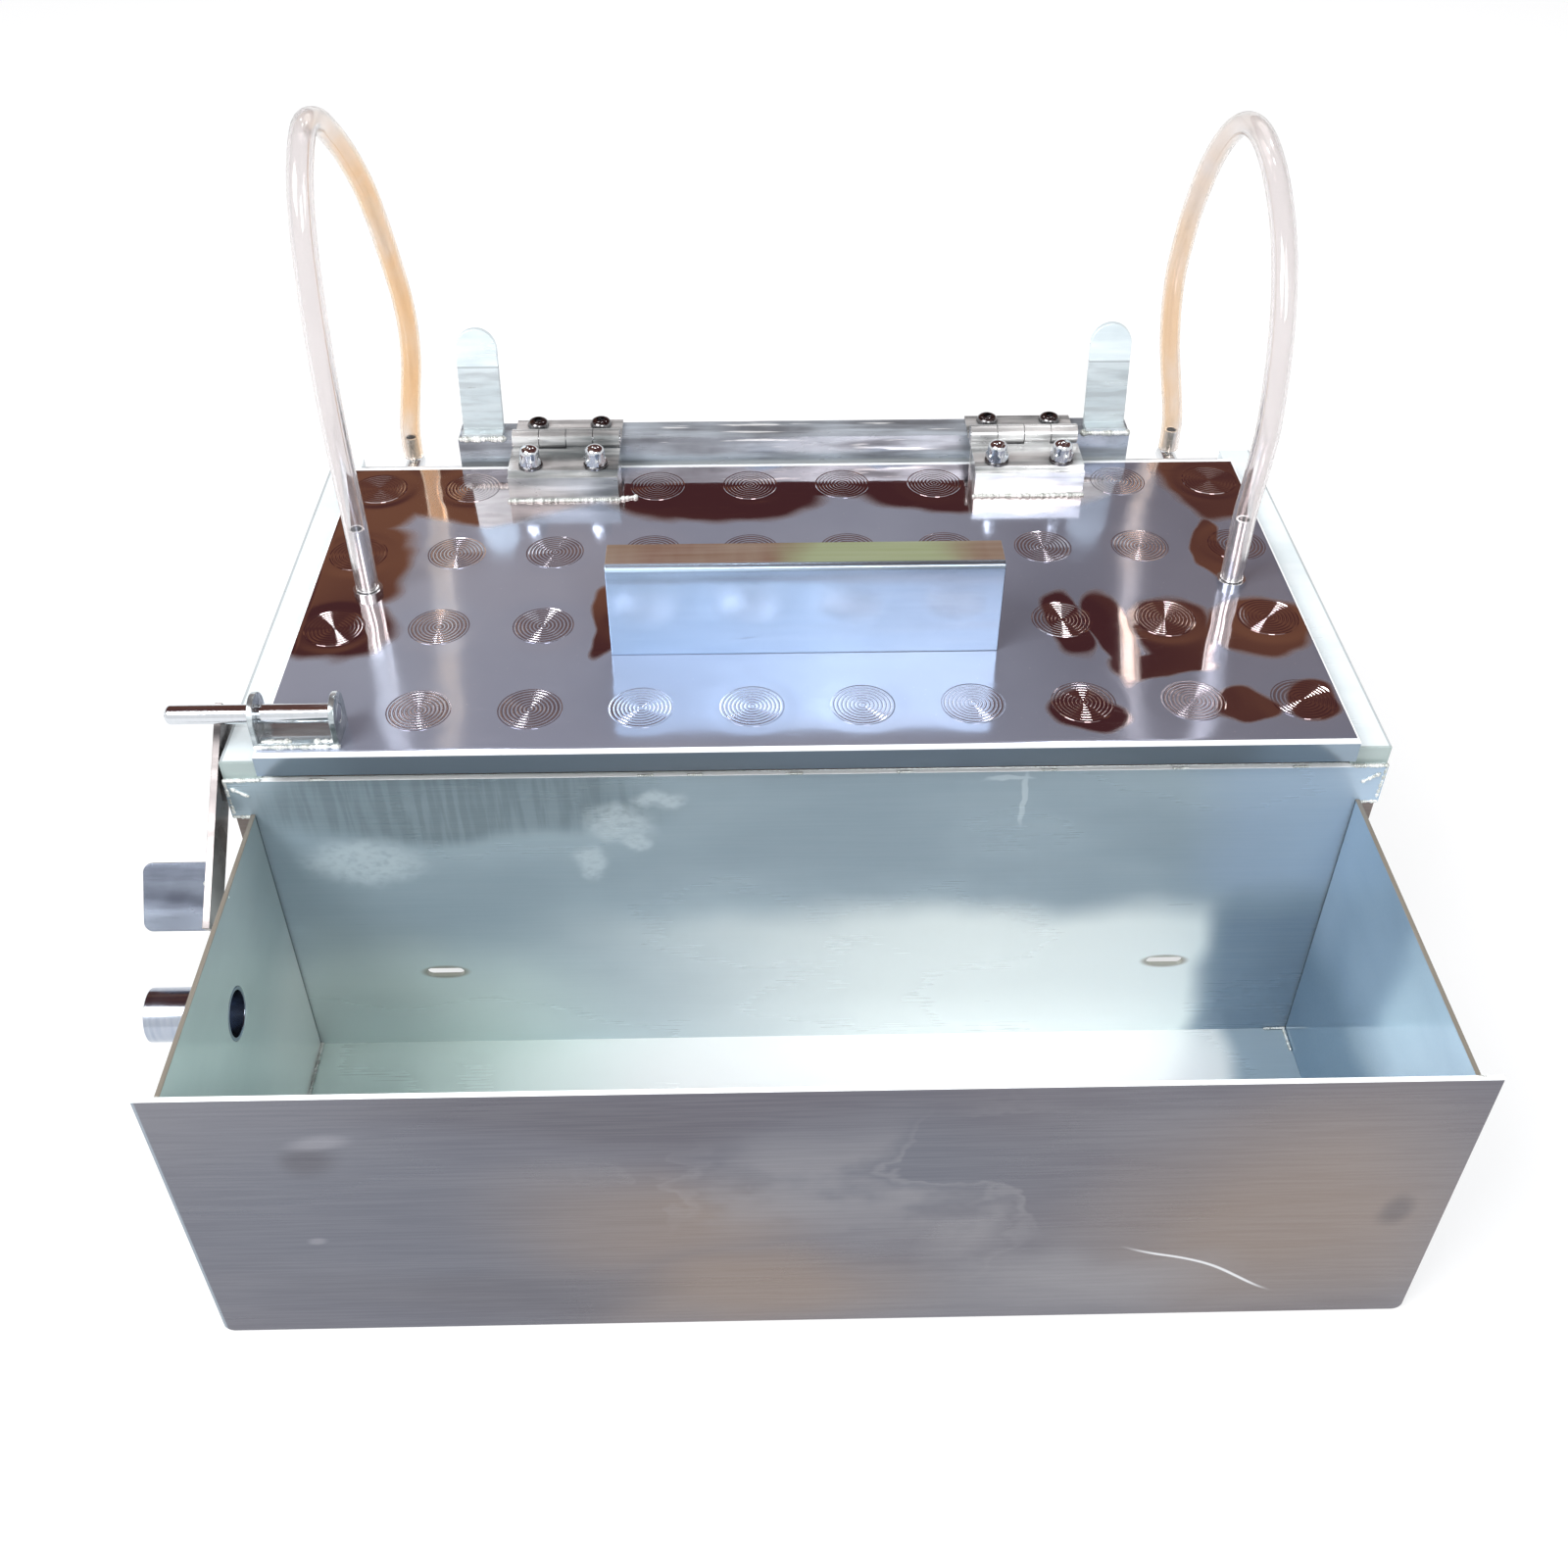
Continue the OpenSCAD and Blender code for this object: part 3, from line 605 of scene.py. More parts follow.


# The front panel's shades are painted reflections of the dark ground in front of it.
PANEL_MAUVE = (0.128, 0.124, 0.150)
PANEL_GREY = (0.192, 0.190, 0.215)
PANEL_BROWN = (0.255, 0.205, 0.178)
PANEL_BLUE = (0.145, 0.158, 0.195)
PANEL_SHADOW = (0.105, 0.102, 0.122)
PANEL_HAZE = (0.285, 0.280, 0.300)
SCRATCH = (0.80, 0.82, 0.85)
SCRATCH_CENTRE, SCRATCH_RADIUS = (0.075, 0, -0.105), 0.163
BROWN_REFLECTIONS = [(-70, 66, 55, 34), (-25, 22, 60, 26), (188, 65, 60, 65)]
BLUE_REFLECTIONS = [(-180, 70, 90, 85), (15, 105, 60, 34)]
SHADOW = [(-110, 140, 60, 12), (-130, 22, 60, 14)]
MIST = [(0, 92, 75, 34), (70, 85, 22, 50)]
DENT_SHADOWS = [(-184, 112, 7, 9), (228, 76, 6, 11)]
DENT_HIGHLIGHTS = [(-180, 123, 7, 4), (-196, 60, 3, 2)]


def panel_marks(finish):
    """The front panel: painted reflections in brown and blue, a painted shadow, tide marks of haze, painted
    shade and highlights on its dents, and one long curved scratch.
    """
    place = finish.warp(8, 0.06)
    # Painted reflections in brown and blue, and a painted shadow.
    for strength, colour, ovals in (
            (0.85, PANEL_BROWN, BROWN_REFLECTIONS), (0.65, PANEL_BLUE, BLUE_REFLECTIONS), (0.5, PANEL_SHADOW, SHADOW)):
        finish.dab(strength, colour, place, ovals, soft=0.7)
    tide = finish.noise(11, stretch=(0.8, 1, 1.2), detail=5.0, shift=5.0)
    misty = finish.spots(place, MIST, soft=0.6)
    finish.paint(0.55 * misty * finish.step(tide, 0.47, 0.56), PANEL_HAZE)
    line = finish.step(tide, 0.465, 0.475) * finish.step(tide, 0.495, 0.475)
    finish.paint(0.25 * misty * line, (0.36, 0.355, 0.37))
    finish.dab(0.6, PANEL_HAZE, finish.warp(16, 0.05), [(118, 28, 42, 15)], soft=0.8)
    # Painted shade and painted highlights on the dents.
    finish.dab(0.5, (0.08, 0.075, 0.09), place, DENT_SHADOWS, soft=0.6)
    finish.dab(0.5, (0.32, 0.32, 0.36), place, DENT_HIGHLIGHTS, soft=0.6)
    streaks = finish.cloud(30, 0.55, 0.75, stretch=(0.1, 1, 1), shift=7.0)
    finish.paint(0.15 * streaks, PANEL_HAZE)
    finish.paint(0.8 * finish.ramp("X", -0.2406, -0.2410), (0.34, 0.40, 0.46))
    flat = finish.vector("MULTIPLY", finish.vector("SUBTRACT", place, SCRATCH_CENTRE), (1, 0, 1))
    away = (finish.vector("LENGTH", flat, None, out="Value") - SCRATCH_RADIUS).math("ABSOLUTE")
    ends = finish.ramp("X", 0.118, 0.135) * finish.ramp("X", 0.186, 0.172)
    finish.paint(0.85 * finish.step(away, 0.0011, 0.0003) * ends, SCRATCH)


BACK_TOP, END_TOP, PANEL_TOP = 0.1676, 0.1496, 0.1492
sheet_back = rolled_sheet(
    "trough_back_sheet", WALL_GREY, WALL_PALE, metallic=0.25, marks=wall_marks, edge=(BACK_TOP, PAINTED_EDGE_HIGHLIGHT))
sheet_floor = rolled_sheet(
    "trough_floor_sheet", (0.62, 0.74, 0.71), GREEN_WALL, metallic=0.2, cloud=(9, 3.0), marks=floor_marks)
# The two end walls are one kind of sheet, painted pale at the left, where the light falls, and in blue
# painted shade at the right.
sheet_left = rolled_sheet("trough_left_sheet", (0.64, 0.75, 0.74), (0.80, 0.91, 0.89), 0.08, metallic=0.5,
                          cloud=(9, 5.0), marks=left_marks, edge=(END_TOP, DULL_EDGE))
sheet_right = rolled_sheet("trough_right_sheet", (0.33, 0.47, 0.61), (0.44, 0.60, 0.75), 0.08, metallic=0.5,
                           cloud=(9, 7.0), marks=right_marks, edge=(END_TOP, DULL_EDGE))
sheet_front = rolled_sheet("front_panel_sheet", PANEL_MAUVE, PANEL_GREY, cloud=(7, 0.0), marks=panel_marks,
                           edge=(PANEL_TOP, PAINTED_EDGE_HIGHLIGHT))
sheet_base = rolled_sheet("base_sheet", (0.30, 0.34, 0.34), (0.55, 0.58, 0.58), cloud=(9, 9.0))
print("sheet finishes: 6")

# %% [markdown]
# The bar, blocks, hinges and strips were dressed with an angle grinder: short crossing scratches over
# grey steel. Two noises, each stretched along its own direction, give the crossing strokes.

# %% Ground and turned steel finishes
def ground(name, dark, light, roughness=0.36, metallic=0.8, stroke=160, turns=(24, 72), marks=None):
    finish = Finish(name, metallic=metallic)
    one = finish.cloud(stroke, 0.38, 0.62, stretch=(0.10, 1, 1), turn=turns[0])
    two = finish.cloud(stroke, 0.45, 0.70, stretch=(0.12, 1, 0.5), turn=turns[1], shift=2.0)
    strokes = 0.45 * one + 0.25 * two + 0.30 * finish.cloud(30, 0.30, 0.70, shift=4.0)
    finish.shade = finish.mix(strokes, dark, light)
    if marks:
        marks(finish)
    finish.set(Base_Color=finish.shade)
    finish.set(Roughness=roughness + 0.15 * two - 0.10 * one)
    finish.bump(strokes, 0.25, 0.0003)
    return finish.material


def turned(name, shade, roughness):
    finish = Finish(name)
    rings = finish.noise(700, stretch=(1, 0.1, 0.1), detail=2.0)
    finish.set(Base_Color=finish.mix(0.25 * rings, shade, (0.95, 0.96, 0.97)))
    finish.set(Roughness=roughness + 0.06 * finish.cloud(90, 0.4, 0.7))
    return finish.material


def rail_light_and_shade(finish):
    """The rails are painted bright on top, where the light falls, with painted shade along their outer edge
    and grey-green painted shade at their welded front ends.
    """
    outer = finish.step(finish.axis("X").math("ABSOLUTE"), 0.2406, 0.2410)
    # Painted shade on the outer edge.
    finish.paint(0.8 * outer, (0.40, 0.44, 0.46))
    # Painted shade at the front ends.
    finish.paint(0.9 * finish.ramp("Y", 0.0775, 0.0765), (0.36, 0.44, 0.43))


STOP_BEND = 0.2325


def stop_light_and_shade(finish):
    """Each stop is painted bright above its bend and greyer, with fine streaks, below it, in painted shade,
    with a painted dark line of shade along the bend.
    """
    # Painted shade below the bend; the streaks are marks in the steel.
    lower = finish.ramp("Z", STOP_BEND, STOP_BEND - 0.0015)
    streaks = finish.cloud(300, 0.4, 0.65, stretch=(0.15, 1, 1), shift=6.0)
    finish.paint(lower * (0.35 + 0.35 * streaks), (0.36, 0.40, 0.42))
    # Painted shade along the bend.
    bend = finish.step((finish.axis("Z") - STOP_BEND).math("ABSOLUTE"), 0.0008, 0.0003)
    finish.paint(0.6 * bend, (0.25, 0.28, 0.30))


BAR_CUTS = [(-15, 310, 196, 28, 14, 10), (55, 310, 196, 24, 14, 10), (-62, 310, 196, 8, 14, 10)]


def bar_marks(finish):
    """The bar has long dark streaks near its foot and a few bright diagonal grinder strokes on top."""
    streaks = finish.cloud(240, 0.45, 0.6, stretch=(0.03, 1, 1), shift=3.0)
    low_part = finish.ramp("Z", 0.192, 0.186)
    finish.paint(0.6 * low_part * streaks, (0.10, 0.11, 0.12))
    pale = finish.ramp("Z", 0.187, 0.184) * (1 - 0.6 * streaks)
    finish.paint(0.7 * pale, (0.90, 0.93, 0.94))
    cuts = finish.cloud(420, 0.60, 0.66, stretch=(0.05, 1, 1), turn=55, shift=9.0)
    where = finish.spots(finish.warp(30, 0.02), BAR_CUTS, "XYZ")
    finish.paint(0.8 * cuts * where, (0.95, 0.97, 0.98))


steel_bar = ground("ground_bar", (0.14, 0.15, 0.17), (0.56, 0.63, 0.71), metallic=0.4, stroke=140,
                   turns=(2, 8), marks=bar_marks)
steel_hinge = ground("hinge_steel", (0.12, 0.135, 0.14), (1.0, 1.0, 1.0), 0.26, metallic=0.5, stroke=120,
                     turns=(4, 30))
steel_strip = ground("strip_steel", (0.62, 0.72, 0.76), (0.88, 0.97, 1.0), metallic=0.35, turns=(0, 80),
                     marks=stop_light_and_shade)
steel_bracket = ground("bracket_steel", (0.20, 0.24, 0.26), (0.86, 0.93, 0.96), 0.22, metallic=0.8)
steel_lever = ground("lever_steel", (0.11, 0.10, 0.10), (0.26, 0.24, 0.24), roughness=0.25, stroke=60)
steel_paddle = ground("paddle_steel", (0.04, 0.045, 0.07), (0.36, 0.41, 0.50), roughness=0.22, stroke=70,
                      turns=(10, 50))
# The rails' pale colour is painted light.
steel_rail = ground(
    "rail_steel", (0.78, 0.87, 0.90), (0.90, 0.97, 1.0), metallic=0.15, stroke=60, marks=rail_light_and_shade)
steel_bright = turned("bright_steel", (0.62, 0.65, 0.69), 0.12)
steel_dark = turned("dark_steel", (0.07, 0.065, 0.07), 0.16)
steel_tube = turned("tube_steel", (0.70, 0.72, 0.74), 0.20)
steel_spout = turned("spout_steel", (0.34, 0.39, 0.48), 0.16)
print("steel finishes: 11")

# %% [markdown]
# Sheared and folded metal never has a knife edge. Each plain CAD solid is copied, its triangles are merged
# into flat faces, and a small bevel rounds every edge. Weighted normals keep the wide faces flat. The copy
# then stands for its CAD node.

# %% Edged copies
def settle(piece):
    """Replaces an object's mesh by what its modifiers make of it."""
    graph = bpy.context.evaluated_depsgraph_get()
    mesh = bpy.data.meshes.new_from_object(piece.evaluated_get(graph))
    piece.modifiers.clear()
    piece.data = mesh
    return piece


def stand_for(piece, *nodes):
    """The piece rides where the first node rides and stands for all of them."""
    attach(piece, frame["nodes"][nodes[0]]["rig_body"])
    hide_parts(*nodes)
    return piece


def round_edges(piece, finish, bevel_mm, segments=2):
    for face in piece.data.polygons:
        face.use_smooth = True
    rounding = piece.modifiers.new("rounding", "BEVEL")
    rounding.width = bevel_mm * MM
    rounding.segments = segments
    rounding.limit_method = "ANGLE"
    rounding.angle_limit = math.radians(40)
    piece.modifiers.new("flat_faces", "WEIGHTED_NORMAL")
    settle(piece)
    piece.data.materials.clear()
    piece.data.materials.append(finish)
    return piece


SHEARED_EDGE, ROUNDED_END = 0.4, 1.5


def edged(node, finish, bevel_mm=SHEARED_EDGE):
    bm = bmesh.new()
    bm.from_mesh(frame["nodes"][node].data)
    bmesh.ops.remove_doubles(bm, verts=bm.verts, dist=1e-6)
    bmesh.ops.dissolve_limit(bm, angle_limit=math.radians(0.5), verts=bm.verts, edges=bm.edges)
    piece = new_piece(f"{node}_edged", bm)
    return stand_for(round_edges(piece, finish, bevel_mm), node)


SIDES = ("left", "right")
edged_nodes = {
    "trough_back_panel": sheet_back, "trough_floor": sheet_floor, "trough_end_left": sheet_left,
    "trough_end_right": sheet_right, "front_panel": sheet_front, "base_pan": sheet_base,
    "base_bed_plate": sheet_base, "lid_face_plate": sheet_base, "rear_rail": steel_bar,
    "hinge_bar": steel_bar, "leg_foot_plates": steel_bar, "lifter_bracket": steel_bracket,
    "lifter_lever": steel_lever, "lifter_paddle": steel_paddle, "overflow_spout": steel_spout,
    "lifting_rod": steel_bright, "lever_pivot_pin": steel_lever, "hinge_washers": steel_dark,
    "supply_inlet": steel_tube, "supply_outlet": steel_tube}
paired_nodes = {
    "rear_leg": sheet_base, "side_rail": steel_rail, "hinge_block": steel_hinge,
    "hinge_front_leaf": steel_hinge, "hinge_rear_leaf": steel_hinge, "lid_stop": steel_strip,
    "lid_nipple": steel_tube, "base_nipple": steel_tube}
for node, finish in edged_nodes.items():
    edged(node, finish, ROUNDED_END if node == "lifting_rod" else SHEARED_EDGE)
for node, finish in paired_nodes.items():
    for side in SIDES:
        edged(f"{node}_{side}", finish)
hidden_nodes = ("base_stays", "lid_stays", "hinge_studs", "hinge_pin_left", "hinge_pin_right")
for node in hidden_nodes:
    frame["nodes"][node].data.materials.clear()
    frame["nodes"][node].data.materials.append(steel_tube)
print("edged copies:", len(edged_nodes) + 2 * len(paired_nodes), "kept as they are:", len(hidden_nodes))

# %% [markdown]
# The lid's cover is one folded sheet. Plug welds pull it down a little at every stay, so a fine grid is
# dished around each of them and made slightly wavy, and its border is rolled over into the rim.

# %% Lid cover shape
GRID_MM = 2.0
FOLD_MM = 1.6
SHEET_MM = 2.0
STAY_COLUMNS, STAY_ROWS = 10, 4
STAY_PITCH_X, STAY_PITCH_Y = 46.3, 60.0
FIRST_ROW_Y = 97.0
DISH_FLAT, DISH_EDGE, DISH_DEPTH = 13.8, 21.0, 0.10
WAVE = 0.02

stays = [((i - (STAY_COLUMNS - 1) / 2) * STAY_PITCH_X, FIRST_ROW_Y + j * STAY_PITCH_Y)
         for j in range(STAY_ROWS) for i in range(STAY_COLUMNS) if (i, j) != (0, 0)]


def dip(x, y):
    """How far the sheet lies below flat at a place, in mm."""
    reach = min(math.hypot(x - sx, y - sy) for sx, sy in stays)
    share = min(max((DISH_EDGE - reach) / (DISH_EDGE - DISH_FLAT), 0), 1)
    wave = WAVE * (1 + math.sin(x / 37 + 1.3 * math.sin(y / 61)) * math.cos(y / 43)) / 2
    return DISH_DEPTH * share * share * (3 - 2 * share) + wave * (1 - share)


low, high = box_mm("lid_cover")
columns = round((high.x - low.x - 2 * FOLD_MM) / GRID_MM)
rows = round((high.y - low.y - 2 * FOLD_MM) / GRID_MM)
xs = [low.x + FOLD_MM + i * (high.x - low.x - 2 * FOLD_MM) / columns for i in range(columns + 1)]
ys = [low.y + FOLD_MM + j * (high.y - low.y - 2 * FOLD_MM) / rows for j in range(rows + 1)]
border = [(i, 0) for i in range(columns)] + [(columns, j) for j in range(rows)]
border += [(i, rows) for i in range(columns, 0, -1)] + [(0, j) for j in range(rows, 0, -1)]
fold = [(FOLD_MM * math.sin(t), high.z - FOLD_MM * (1 - math.cos(t)))
        for t in (math.radians(a) for a in (22.5, 45, 67.5, 90))]
profile = fold + [(FOLD_MM, low.z), (FOLD_MM - SHEET_MM, low.z), (FOLD_MM - SHEET_MM, high.z - SHEET_MM)]

bm = bmesh.new()
grid = {(i, j): bm.verts.new(Vector((x, y, high.z - dip(x, y))) * MM)
        for i, x in enumerate(xs) for j, y in enumerate(ys)}
for i in range(columns):
    for j in range(rows):
        bm.faces.new((grid[i, j], grid[i + 1, j], grid[i + 1, j + 1], grid[i, j + 1]))
ring = [grid[place] for place in border]
for out, z in profile:
    next_ring = []
    for i, j in border:
        side_x = (i == columns) - (i == 0)
        side_y = (j == rows) - (j == 0)
        next_ring.append(bm.verts.new(Vector((xs[i] + out * side_x, ys[j] + out * side_y, z)) * MM))
    for k, m in around(len(ring)):
        bm.faces.new((ring[m], ring[k], next_ring[k], next_ring[m]))
    ring = next_ring
bm.faces.new(list(reversed(ring)))
lid_cover = smooth(new_piece("polished_lid_cover", bm), CREASE_DEG)
print("lid cover:", len(lid_cover.data.polygons), "faces over", len(stays), "stays")

# %% [markdown]
# The lid is mirror-polished, but a thin film of wax hazes most of it. Someone has wiped it clean at the left,
# along the rear and in a few strokes at the right. Inside those strokes it mirrors the dark ceiling.

# %% Lid cover finish
# Clean steel is tinted warm as a painted reflection of the maroon ceiling, on top of what the mirror shows.
CLEAN_STEEL = (0.62, 0.54, 0.55)
HAZE_FILM = (0.40, 0.44, 0.56)
PALE_FILM = (0.48, 0.53, 0.65)
THIN_FILM = (0.20, 0.20, 0.26)
DUST = (0.85, 0.85, 0.87)
WIPED = [
    (-218, 269, 42, 34), (-212, 205, 33, 44), (-210, 152, 30, 24), (-149, 275, 58, 33), (-45, 270, 56, 30),
    (93, 272, 62, 28), (14, 282, 40, 16), (207, 272, 24, 36), (197, 212, 7, 28), (118, 153, 10, 26),
    (138, 146, 11, 32), (165, 147, 17, 27), (202, 150, 23, 22), (151, 122, 24, 8), (117, 92, 16, 15),
    (182, 94, 10, 13), (210, 94, 15, 14), (-89, 158, 7, 26)]


def lid_finish(name, clean_share=0.0):
    """Polished sheet under a film of wax. A clean share takes off part of the film everywhere."""
    finish = Finish(name)
    wiped = clean_share | finish.spots(finish.warp(22, 0.03), WIPED, "XY", soft=0.12)
    grain = finish.cloud(420, 0.55, 0.75, stretch=(0.15, 1, 1), turn=35)
    film = finish.mix(finish.cloud(7, 0.35, 0.7, shift=6.0), HAZE_FILM, PALE_FILM)
    film = finish.mix(0.55 * finish.ramp("X", 0.04, 0.14), film, THIN_FILM)
    finish.shade = finish.mix(wiped, film, CLEAN_STEEL)
    finish.paint(0.25 * finish.cloud(650, 0.68, 0.76, shift=1.0), DUST)
    finish.set(Roughness=0.13 - 0.08 * wiped + 0.05 * grain)
    return finish, wiped


def rim_and_edge_highlight(finish, wiped):
    """The folded edge has a painted highlight all round, and the rim below it mirrors the dark trough."""
    rim = finish.ramp("Z", 0.1846, 0.1842)
    finish.paint(rim, (0.26, 0.33, 0.40))
    sides = finish.step(finish.axis("X").math("ABSOLUTE"), 0.2236, 0.2238)
    front = finish.ramp("Y", 0.0708, 0.0704)
    rear = finish.ramp("Y", 0.2952, 0.2956)
    # A painted highlight along the folded edge, which is not metallic there.
    line = (sides | front | rear) * (1 - rim)
    finish.paint(line, PAINTED_EDGE_HIGHLIGHT)
    finish.set(Base_Color=finish.shade, Metallic=(0.66 + 0.34 * wiped) * (1 - line))


mirror, wiped = lid_finish("mirror_lid")
rim_and_edge_highlight(mirror, wiped)
lid_cover.data.materials.append(mirror.material)
stand_for(lid_cover, "lid_cover")
print("lid finish:", len(WIPED), "wiped places")

# %% [markdown]
# Recipes are geometry node trees with named inputs. A recipe is run once on an object, its result becomes a
# plain mesh, and the modifier goes. The same few recipes then serve rosettes, nuts, screws, cells and welds.

# %% Recipes
class Recipe(Net):
    """A geometry node tree with named inputs."""

    def __init__(self, name, **kinds):
        super().__init__(bpy.data.node_groups.new(name, "GeometryNodeTree"))
        face = self.tree.interface
        face.new_socket("Shape", in_out="OUTPUT", socket_type="NodeSocketGeometry")
        kinds = {"Shape": "Geometry", "Finish": "Material", "Seed": "Int", **kinds}
        self.sockets = {key: face.new_socket(key, in_out="INPUT", socket_type=f"NodeSocket{kind}")
                        for key, kind in kinds.items()}
        self.start = self.tree.nodes.new("NodeGroupInput")
        self.end = self.tree.nodes.new("NodeGroupOutput")

    def given(self, name):
        return Wire(self, self.start.outputs[name])

    def random(self, least, most):
        return self.node("FunctionNodeRandomValue", {"data_type": "FLOAT"},
                         {2: least, 3: most, 8: self.given("Seed")}, out=1)

    def finish(self, instances):
        solid = self.node("GeometryNodeRealizeInstances", inputs=[instances])
        dressed = self.node("GeometryNodeSetMaterial", inputs={
            "Geometry": solid, "Material": self.given("Finish")})
        self.feed(self.end.inputs[0], dressed)

    def run(self, piece, **values):
        modifier = piece.modifiers.new(self.tree.name, "NODES")
        modifier.node_group = self.tree
        for key, value in values.items():
            modifier[self.sockets[key].identifier] = value
        return settle(piece)


scatter = Recipe("scatter", Template="Object", Turn="Float")
spin = scatter.node("ShaderNodeCombineXYZ", inputs={"Z": scatter.random(0.0, scatter.given("Turn"))})
template = scatter.node("GeometryNodeObjectInfo", inputs=[scatter.given("Template")], out="Geometry")
scatter.finish(scatter.node("GeometryNodeInstanceOnPoints", inputs={
    "Points": scatter.given("Shape"), "Instance": template, "Rotation": spin}))


def scattered(name, points_mm, template_object, finish, turn=0.0, seed=1):
    """Copies of a template at each point. The template is used up."""
    bm = bmesh.new()
    for point in points_mm:
        bm.verts.new(Vector(point) * MM)
    piece = scatter.run(new_piece(name, bm), Template=template_object, Finish=finish, Turn=turn, Seed=seed)
    bpy.data.objects.remove(template_object)
    return piece


FINE_CREASE_DEG = 28


def ring_stack(name, rings, sides):
    """A closed shape from rings of points, each given as (radius at an angle, height in mm)."""
    bm = bmesh.new()
    stack = [[bm.verts.new(Vector((r(t) * math.cos(t), r(t) * math.sin(t), z)) * MM)
              for t in full_turn(sides)] for r, z in rings]
    for a, b in zip(stack, stack[1:]):
        for k, m in around(sides):
            bm.faces.new((a[k], a[m], b[m], b[k]))
    bm.faces.new(list(reversed(stack[0])))
    bm.faces.new(stack[-1])
    return smooth(new_piece(name, bm), FINE_CREASE_DEG)


def circle(radius):
    return lambda turn: radius


def hexagon(radius):
    sixth = math.pi / 6
    return lambda turn: radius * math.cos(sixth) / math.cos((turn + sixth) % (2 * sixth) - sixth)


print("recipes: scatter")

# %% [markdown]
# After plug welding, each spot was dressed with a small flap wheel. That leaves a rosette of shallow rings
# whose sides catch the lamps as bright rays. The rings are real waves in the metal, so the rays turn with
# the view. One rosette is a stack of rings, four to a wave, and a recipe scatters it over the stays.

# %% Rosettes
ROSETTE_RADIUS = 13.6
GROOVE_PITCH = 1.7
GROOVE_SLOPE = 0.28
RINGS_PER_GROOVE = 4
ROSETTE_SINK, ROSETTE_RISE = 0.1, 0.02
ROSETTE_SIDES = 40
lid_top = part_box("lid_cover")[1].z / MM

groove_count = int(ROSETTE_RADIUS / GROOVE_PITCH)
groove_height = GROOVE_SLOPE * GROOVE_PITCH / (2 * math.pi)
ring_count = groove_count * RINGS_PER_GROOVE
groove_rings = [(circle(ROSETTE_RADIUS), -ROSETTE_SINK)]
for k in range(ring_count, 0, -1):
    wave = math.cos(2 * math.pi * k / RINGS_PER_GROOVE)
    groove_rings.append((circle(k * GROOVE_PITCH / RINGS_PER_GROOVE), ROSETTE_RISE + groove_height * wave))
rosette = ring_stack("rosette", groove_rings, ROSETTE_SIDES)

ring_steel, ring_wiped = lid_finish("rosette_steel", clean_share=0.55)
ring_steel.set(Base_Color=ring_steel.shade, Metallic=0.80 + 0.20 * ring_wiped)
places = [(x, y, lid_top - DISH_DEPTH) for x, y in stays]
rosettes = scattered("plug_weld_rosettes", places, rosette, ring_steel.material, turn=math.pi, seed=4)
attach(rosettes, "lid")
print("rosettes:", len(places), "of", groove_count, "grooves")

# %% [markdown]
# The handle is a strip of sheet folded once. Its front was brushed and has been scratched in use. Its turned
# top is bright, and the brown and green that it mirrors in the photograph are painted on. The outline is
# drawn from the side and pushed along x.

# %% Handle
HANDLE_FOLD = 2.6
low, high = box_mm("handle")


def arc_points(centre, radius, start, end, steps=5):
    turns = [math.radians(start + (end - start) * k / steps) for k in range(steps + 1)]
    return [(centre[0] + radius * math.cos(t), centre[1] + radius * math.sin(t)) for t in turns]


def push_along_x(name, outline, x0, x1):
    """A solid with a constant (y, z) outline, in mm."""
    bm = bmesh.new()
    ends = [[bm.verts.new(Vector((x, y, z)) * MM) for y, z in outline] for x in (x0, x1)]
    for k, m in around(len(outline)):
        bm.faces.new((ends[0][k], ends[0][m], ends[1][m], ends[1][k]))
    bm.faces.new(list(reversed(ends[0])))
    bm.faces.new(ends[1])
    bmesh.ops.recalc_face_normals(bm, faces=bm.faces)
    return new_piece(name, bm)


fold_centre = (low.y + HANDLE_FOLD, high.z - HANDLE_FOLD)
outline = [(low.y, low.z), *arc_points(fold_centre, HANDLE_FOLD, 180, 90), (high.y, high.z)]
outline += [(high.y, high.z - SHEET_MM), *arc_points(fold_centre, HANDLE_FOLD - SHEET_MM, 90, 180)]
outline += [(low.y + SHEET_MM, low.z)]
handle = push_along_x("folded_handle", outline, low.x, high.x)

brushed = Finish("handle_steel")
fine = brushed.noise(500, stretch=(0.04, 1, 0.5), detail=2.0)
# The front's colour is a painted reflection: pale blue at the left and dark at the right.
brushed.shade = brushed.mix(brushed.ramp("X", -0.07, 0.05), (0.56, 0.74, 0.96), (0.17, 0.215, 0.27))
brushed.paint(0.15 * brushed.cloud(22, 0.3, 0.7, stretch=(0.5, 1, 1)), (0.40, 0.50, 0.62))
smudge = brushed.cloud(70, 0.42, 0.62, stretch=(0.12, 1, 1), shift=5.0)
bands = brushed.spots(brushed.place, [(0, 222.5, 90, 4), (20, 199, 75, 2)], soft=0.6)
brushed.paint(0.55 * bands * smudge, (0.20, 0.21, 0.24))
nicks = brushed.cloud(260, 0.66, 0.70, stretch=(0.10, 1, 0.8), turn=12, shift=3.0)
brushed.paint(0.5 * nicks, (0.16, 0.20, 0.28))
on_top = brushed.ramp("Y", 0.1362, 0.1372)
tint = brushed.cloud(26, 0.35, 0.65, stretch=(1, 0.2, 1), shift=8.0)
timber = brushed.mix(tint, (0.13, 0.040, 0.014), (0.20, 0.13, 0.085))
leaf = brushed.spots(brushed.warp(40, 0.02), [(28, 34)], "X", soft=0.4)
timber = brushed.mix(leaf, timber, (0.25, 0.29, 0.15))
brushed.paint(on_top, timber)
brushed.paint(0.12 * fine, (0.95, 0.97, 1.0))
